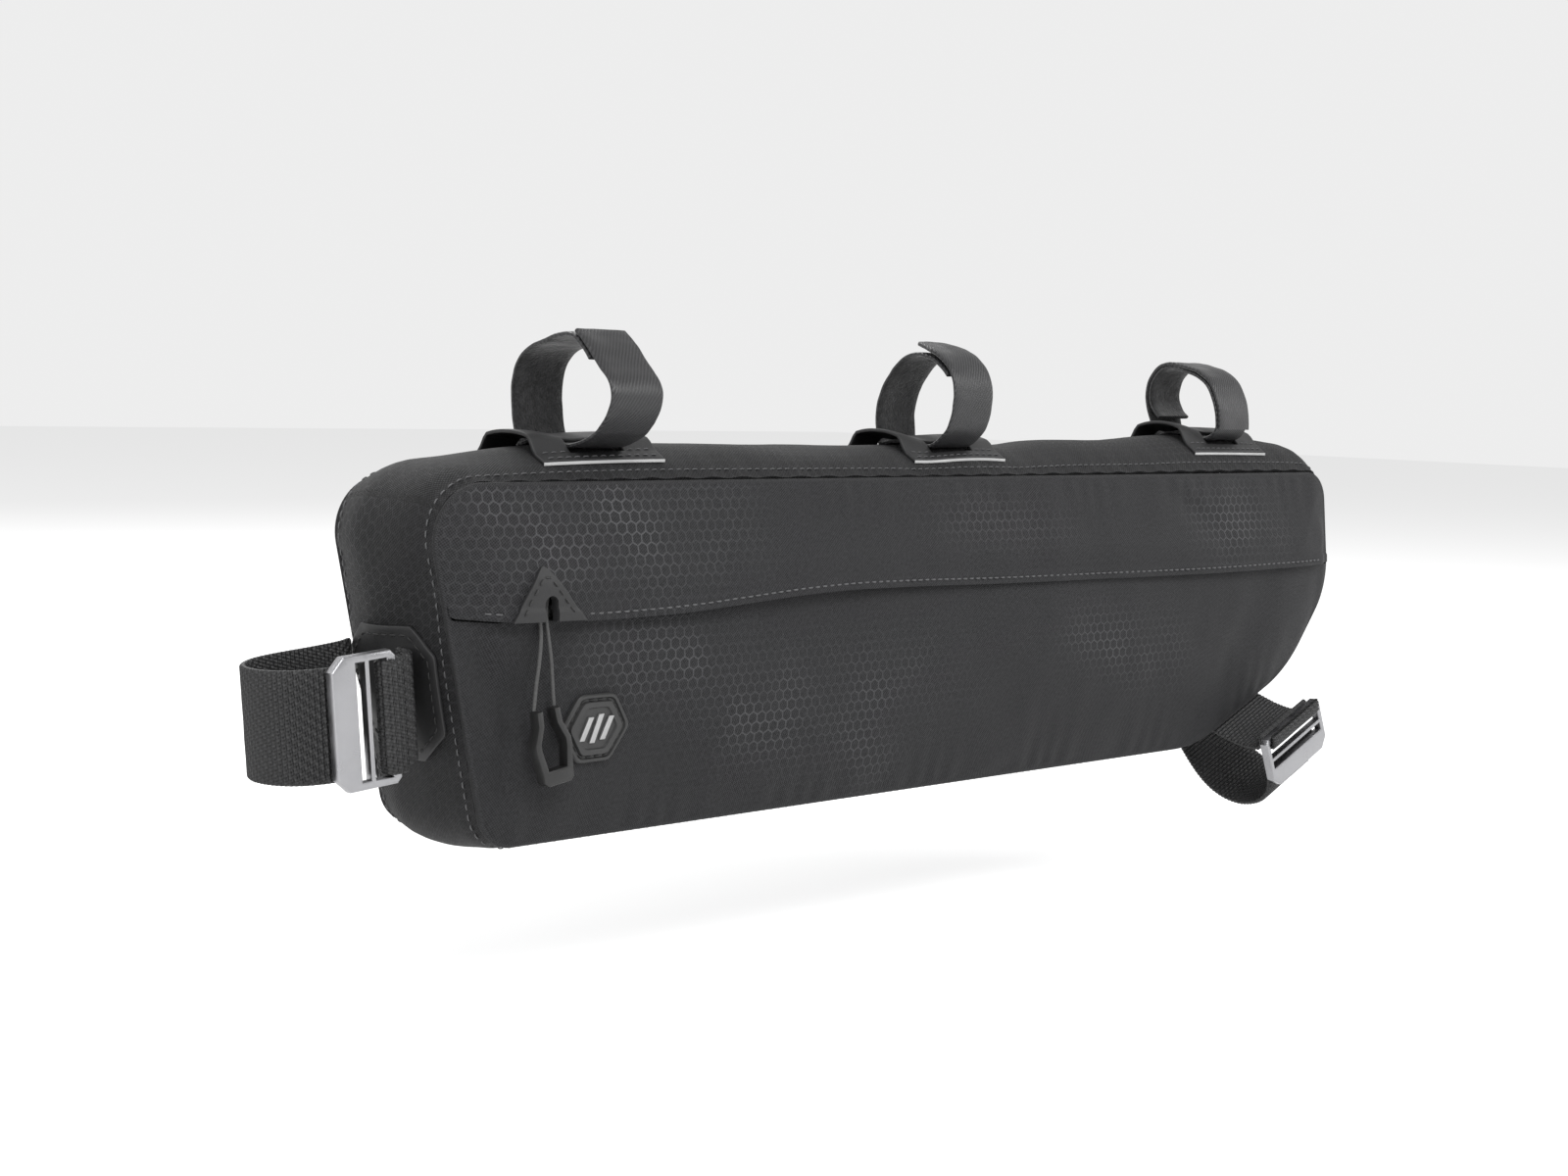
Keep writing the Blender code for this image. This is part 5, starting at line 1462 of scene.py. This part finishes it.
def hexagon_ring(share):
    """The badge's six rounded corners as points, at a share of its size."""
    corners = [(1, 0), (0.5, 1), (-0.5, 1), (-1, 0), (-0.5, -1), (0.5, -1)]
    corners = [np.array([a * BADGE_WIDTH / 2, b * BADGE_HEIGHT / 2]) * share for a, b in corners]
    points = []
    for i, here in enumerate(corners):
        back, ahead = corners[i - 1], corners[(i + 1) % 6]
        for t in np.linspace(0, 1, 6):
            a = here + 0.16 * (back - here) * (1 - t)
            b = here + 0.16 * (ahead - here) * t
            points.append((1 - t) * a + t * b)
    return np.array(points)


def build_badge():
    x, z = REAR_X + BADGE_FROM_REAR, -BADGE_DROP
    rings = (
        # share of the badge, height above the panel
        (1.0, -0.0006),
        (1.0, 0.0011),
        (0.965, 0.0016),
        (0.90, 0.0016),
        (0.87, 0.0009),
        (0.80, 0.0009),
        (0.77, 0.0019),
        (0.62, 0.0019),
        (0.59, 0.0013),
        (0.30, 0.0013),
        (0.02, 0.0013),
    )
    grid = []
    for share, height in rings:
        ring = hexagon_ring(share) + np.array([x, z])
        grid.append(np.stack([ring[:, 0], zip_side(ring[:, 0], ring[:, 1]) - height, ring[:, 1]], axis=1))
    grid = np.array(grid)
    points = placed(grid).reshape(-1, 3)
    faces = grid_faces(*grid.shape[:2], closed=True)
    plaque = mesh_object("rubber_badge", points, faces, [RUBBER], smooth_angle=30)
    adopt(plaque, ["badge"])
    ring = hexagon_ring(0.835) + np.array([x, z])
    ring = np.vstack([ring, ring[:1]])
    line = np.stack([ring[:, 0], zip_side(ring[:, 0], ring[:, 1]) - 0.0010, ring[:, 1]], axis=1)
    stitches("badge_stitches", [(line, np.broadcast_to([0, -1.0, 0], line.shape))], DARK_THREAD)
    here = zip_side(np.array([x - 0.004, x + 0.004]), np.array([z, z]))
    low = zip_side(np.array([x, x]), np.array([z - 0.004, z + 0.004]))
    right = np.array([0.008, here[1] - here[0], 0])
    up = np.array([0, low[1] - low[0], 0.008])
    for step in (-1, 0, 1):
        slant, half, tall = 0.0016, 0.0010, 0.0036 + 0.0008 * (1 - abs(step))
        bar = [(half + slant, tall), (-half + slant, tall), (-half - slant, -tall), (half - slant, -tall)]
        place = (x + step * 0.0040, zip_side(np.array([x + step * 0.0040]), np.array([z]))[0] - 0.0016, z)
        piece = plate(f"inlay_{step + 1}", bar, (), 0.0009, INLAY, frame_matrix(place, right, up), 0.00015)
        adopt(piece, ["badge_inlay"] if step == 0 else ())


def strap_line(rows, x, count):
    """A top strap's middle line as points of the bag's frame."""
    front, back = slots()
    turns_down = rows[-1][0] < rows[0][0]
    route = []
    for turn, reach, layer in rows:
        if turn == "tunnel":
            across = np.linspace(front, back, 5)
            across = across if turns_down else across[::-1]
            route += [(y, top_height(x, y) + STRAP_REST) for y in across]
            continue
        radius = reach * LOOP_RADIUS + layer * (STRAP_THICKNESS + GAP)
        angle = math.radians(turn)
        route.append((FRONT_TO_AXIS - radius * math.cos(angle), AXIS_ABOVE_SEAM + radius * math.sin(angle)))
    route = evenly(route, count)
    return np.stack([np.full(count, x), route[:, 0], route[:, 1]], axis=1)


def build_straps():
    for name, rows, x, taper in (
        ("rear", REAR_LOOP, -STRAP_SPACING, 0.0),
        ("middle", MIDDLE_LOOP, 0.0, 0.010),
        ("front", FRONT_LOOP, STRAP_SPACING, 0.0),
    ):
        line = strap_line(rows, x, 260)
        finishes = [SATIN, PILE]
        size = (STRAP_WIDTH, STRAP_THICKNESS)
        strap = ribbon("strap_" + name, line, (1.0, 0, 0), *size, finishes, wobble=0.0002, taper=taper)
        adopt(strap, ["top_strap_" + name])
        build_anchor(name, x)


def build_anchor(name, x):
    """The coated patch that holds a strap down, its stitches and its pale cut front edge."""
    front, back = slots()
    half = STRAP_WIDTH / 2 + 2 * GAP
    tight = STRAP_THICKNESS / 2 + SLOT_CLEARANCE
    edge = ANCHOR_LENGTH / 2
    along = x + np.concatenate(
        [np.linspace(-edge, -half, 14), np.linspace(-half, half, 13)[1:], np.linspace(half, edge, 14)[1:]]
    )
    across = np.concatenate(
        [
            np.linspace(ANCHOR_INSET, front - tight, 7),
            np.linspace(front - tight, front + tight, 4)[1:],
            np.linspace(front + tight, back - tight, 22)[1:],
            np.linspace(back - tight, back + tight, 4)[1:],
            np.linspace(back + tight, BAG_WIDTH - ANCHOR_INSET, 7)[1:],
        ]
    )
    rise = smooth(front - tight, front + tight, across) * smooth(front - tight, front + tight, BAG_WIDTH - across)
    grid, uv = [], []
    for place in along:
        open_end = 1 + 1.1 * smooth(0.2 * edge, edge, x - place)
        above = 0.0003 + ANCHOR_THICKNESS + rise * (STRAP_THICKNESS + SOFT_GAP) * open_end
        height = top_height(np.full(len(across), place), across) + above
        grid.append(np.stack([np.full(len(across), place), across, height], axis=1))
        uv.append(np.stack([np.full(len(across), place), across], axis=1))
    grid = np.array(grid)[::-1]
    slot_columns = {6, 7, 8, 29 + 1, 29 + 2, 29}
    first, last = 13, 24

    def in_slot(row, column):
        return first <= row <= last and column in slot_columns

    uv = np.array(uv)[::-1]
    patch = cloth("anchor_" + name, grid, ANCHOR_THICKNESS, PATCH, uv, skip=in_slot, hem=0.0003)
    adopt(patch, ["strap_anchor_" + name])
    paths = []
    hem, cut = ANCHOR_INSET + 0.0014, 0.0015
    for y in (hem, front - tight + 0.0004, back + tight, BAG_WIDTH - hem):
        places = x + np.linspace(-edge + cut, edge - cut, 40)
        height = top_height(places, np.full(40, y)) + ANCHOR_THICKNESS + 0.0004
        row = np.stack([places, np.full(40, y), height], axis=1)
        if abs(y - front) < 0.004 or abs(y - back) < 0.004:
            left, right = places < x - half, places > x + half
            paths += [(row[left], UP[: left.sum()]), (row[right], UP[: right.sum()])]
        else:
            paths.append((row, UP[:40]))
    stitches("anchor_stitches_" + name, paths, THREAD)
    places = x + np.linspace(-edge, edge, 30)
    y = np.full(30, ANCHOR_INSET - 0.0001)
    line = np.stack([places, y, top_height(places, y) + 0.5 * ANCHOR_THICKNESS + 0.0002], axis=1)
    height = 0.8 * ANCHOR_THICKNESS
    rim = ribbon("anchor_rim_" + name, line, (0, 0.0, 1.0), height, 0.0003, [PATCH_EDGE], across=3)
    adopt(rim)


UP = np.tile([0, 0, 1.0], (60, 1))


def build_rear():
    half_width = BAG_WIDTH / 2 - REAR_PATCH_INSET
    grid, uv = [], []
    for up in np.linspace(-1, 1, 31):
        share = np.interp(abs(up), [0, 0.58, 1.0], [1.0, 1.0, 0.52])
        across = 0.5 + np.linspace(-1, 1, 25) * share * half_width / BAG_WIDTH
        place = rear_end(REAR_PATCH_DROP - up * REAR_PATCH_HEIGHT / 2)
        grid.append(band_point(place, across, 0.0004 + REAR_PATCH_THICKNESS))
        uv.append(np.stack([np.full(25, up * REAR_PATCH_HEIGHT / 2), across * BAG_WIDTH], axis=1))
    grid, uv = np.array(grid)[::-1], np.array(uv)[::-1]
    patch = cloth("rear_patch", grid, REAR_PATCH_THICKNESS, PATCH, uv, hem=0.0003)
    adopt(patch, ["rear_anchor_patch"])
    path, normals = [], []
    turns = [(-1, 0.52), (-0.58, 1), (0.58, 1), (1, 0.52)]
    corners = [(up, share) for up, share in turns] + [(up, -share) for up, share in turns[::-1]]
    corners.append(corners[0])
    for (up_a, s_a), (up_b, s_b) in zip(corners[:-1], corners[1:]):
        for t in np.linspace(0, 1, 16, endpoint=False):
            up, share = 0.87 * (up_a + t * (up_b - up_a)), 0.87 * (s_a + t * (s_b - s_a))
            place = rear_end(REAR_PATCH_DROP - up * REAR_PATCH_HEIGHT / 2)
            path.append(band_point(place, 0.5 + share * half_width / BAG_WIDTH, 0.0005 + REAR_PATCH_THICKNESS))
            out = outward(place)
            normals.append((out[0], 0, out[1]))
    stitches("rear_patch_stitches", [(np.array(path), np.array(normals))], DARK_THREAD)


def build_webbing(name, rows, tab_rows, basis, point):
    """A webbing loop with its folded end, the tab, and the buckle between them."""
    foot, out, axis = basis()
    loop = [point(*row) for row in rows]
    stack = WEBBING_THICKNESS / 2 + GAP + BUCKLE_THICKNESS / 2
    middle = loop[0] + np.array([-BUCKLE_OVERLAP, -stack])
    bar = middle - np.array([BUCKLE_LENGTH / 2 - BUCKLE_TAB_BAR / 2, 0])
    tab = [point(*row) for row in tab_rows]
    tab += [bar + stack * np.array([ahead, inward]) for ahead, inward in TAB_WRAP]
    for piece, route, count in (("strap", loop, 420), ("tab", tab, 170)):
        points = np.array([foot + out * ahead + np.array([0, across, 0]) for ahead, across in route])
        line = evenly(points, count)
        made = ribbon(
            f"{name}_{piece}", line, axis, WEBBING_WIDTH, WEBBING_THICKNESS, [WEBBING], rib=RIB_DEPTH, wobble=0.0001
        )
        adopt(made, [f"{name}_{piece}"])
    build_buckle(name, foot + out * middle[0] + np.array([0, middle[1], 0]), out, axis)


def build_buckle(name, place, out, axis):
    """The hook buckle: a chamfered frame with a slot for the tab and a window for the loop's hook, and a thin hook
    bar between them.
    """
    matrix = frame_matrix(place, out, axis)
    half, tall = BUCKLE_LENGTH / 2, WEBBING_WIDTH / 2 + BUCKLE_RAIL
    far, near = BUCKLE_CHAMFER, 0.4 * BUCKLE_CHAMFER
    side = [(half, tall - far), (half - far, tall), (-half + near, tall), (-half, tall - near)]
    outline = side + [(x, -z) for x, z in side[::-1]]
    slot_height = WEBBING_WIDTH / 2 + 2 * GAP
    holes = []
    slot = -half + BUCKLE_TAB_BAR
    window = slot + BUCKLE_SLOT + BUCKLE_HOOK_BAR
    for start, end in ((slot, slot + BUCKLE_SLOT), (window, window + BUCKLE_WINDOW)):
        holes.append([(start, slot_height), (start, -slot_height), (end, -slot_height), (end, slot_height)])
    made = plate(name + "_frame", outline, holes, BUCKLE_THICKNESS, BUCKLE, matrix, 0.0007)
    adopt(made, [name + "_buckle"])


build_panels()
build_band()
build_zip()
build_pull()
build_badge()
build_straps()
build_rear()
build_webbing("seat_tube", SEAT_STRAP, SEAT_TAB, seat_frame, seat_point)
build_webbing("down_tube", DOWN_STRAP, DOWN_TAB, down_frame, down_point)
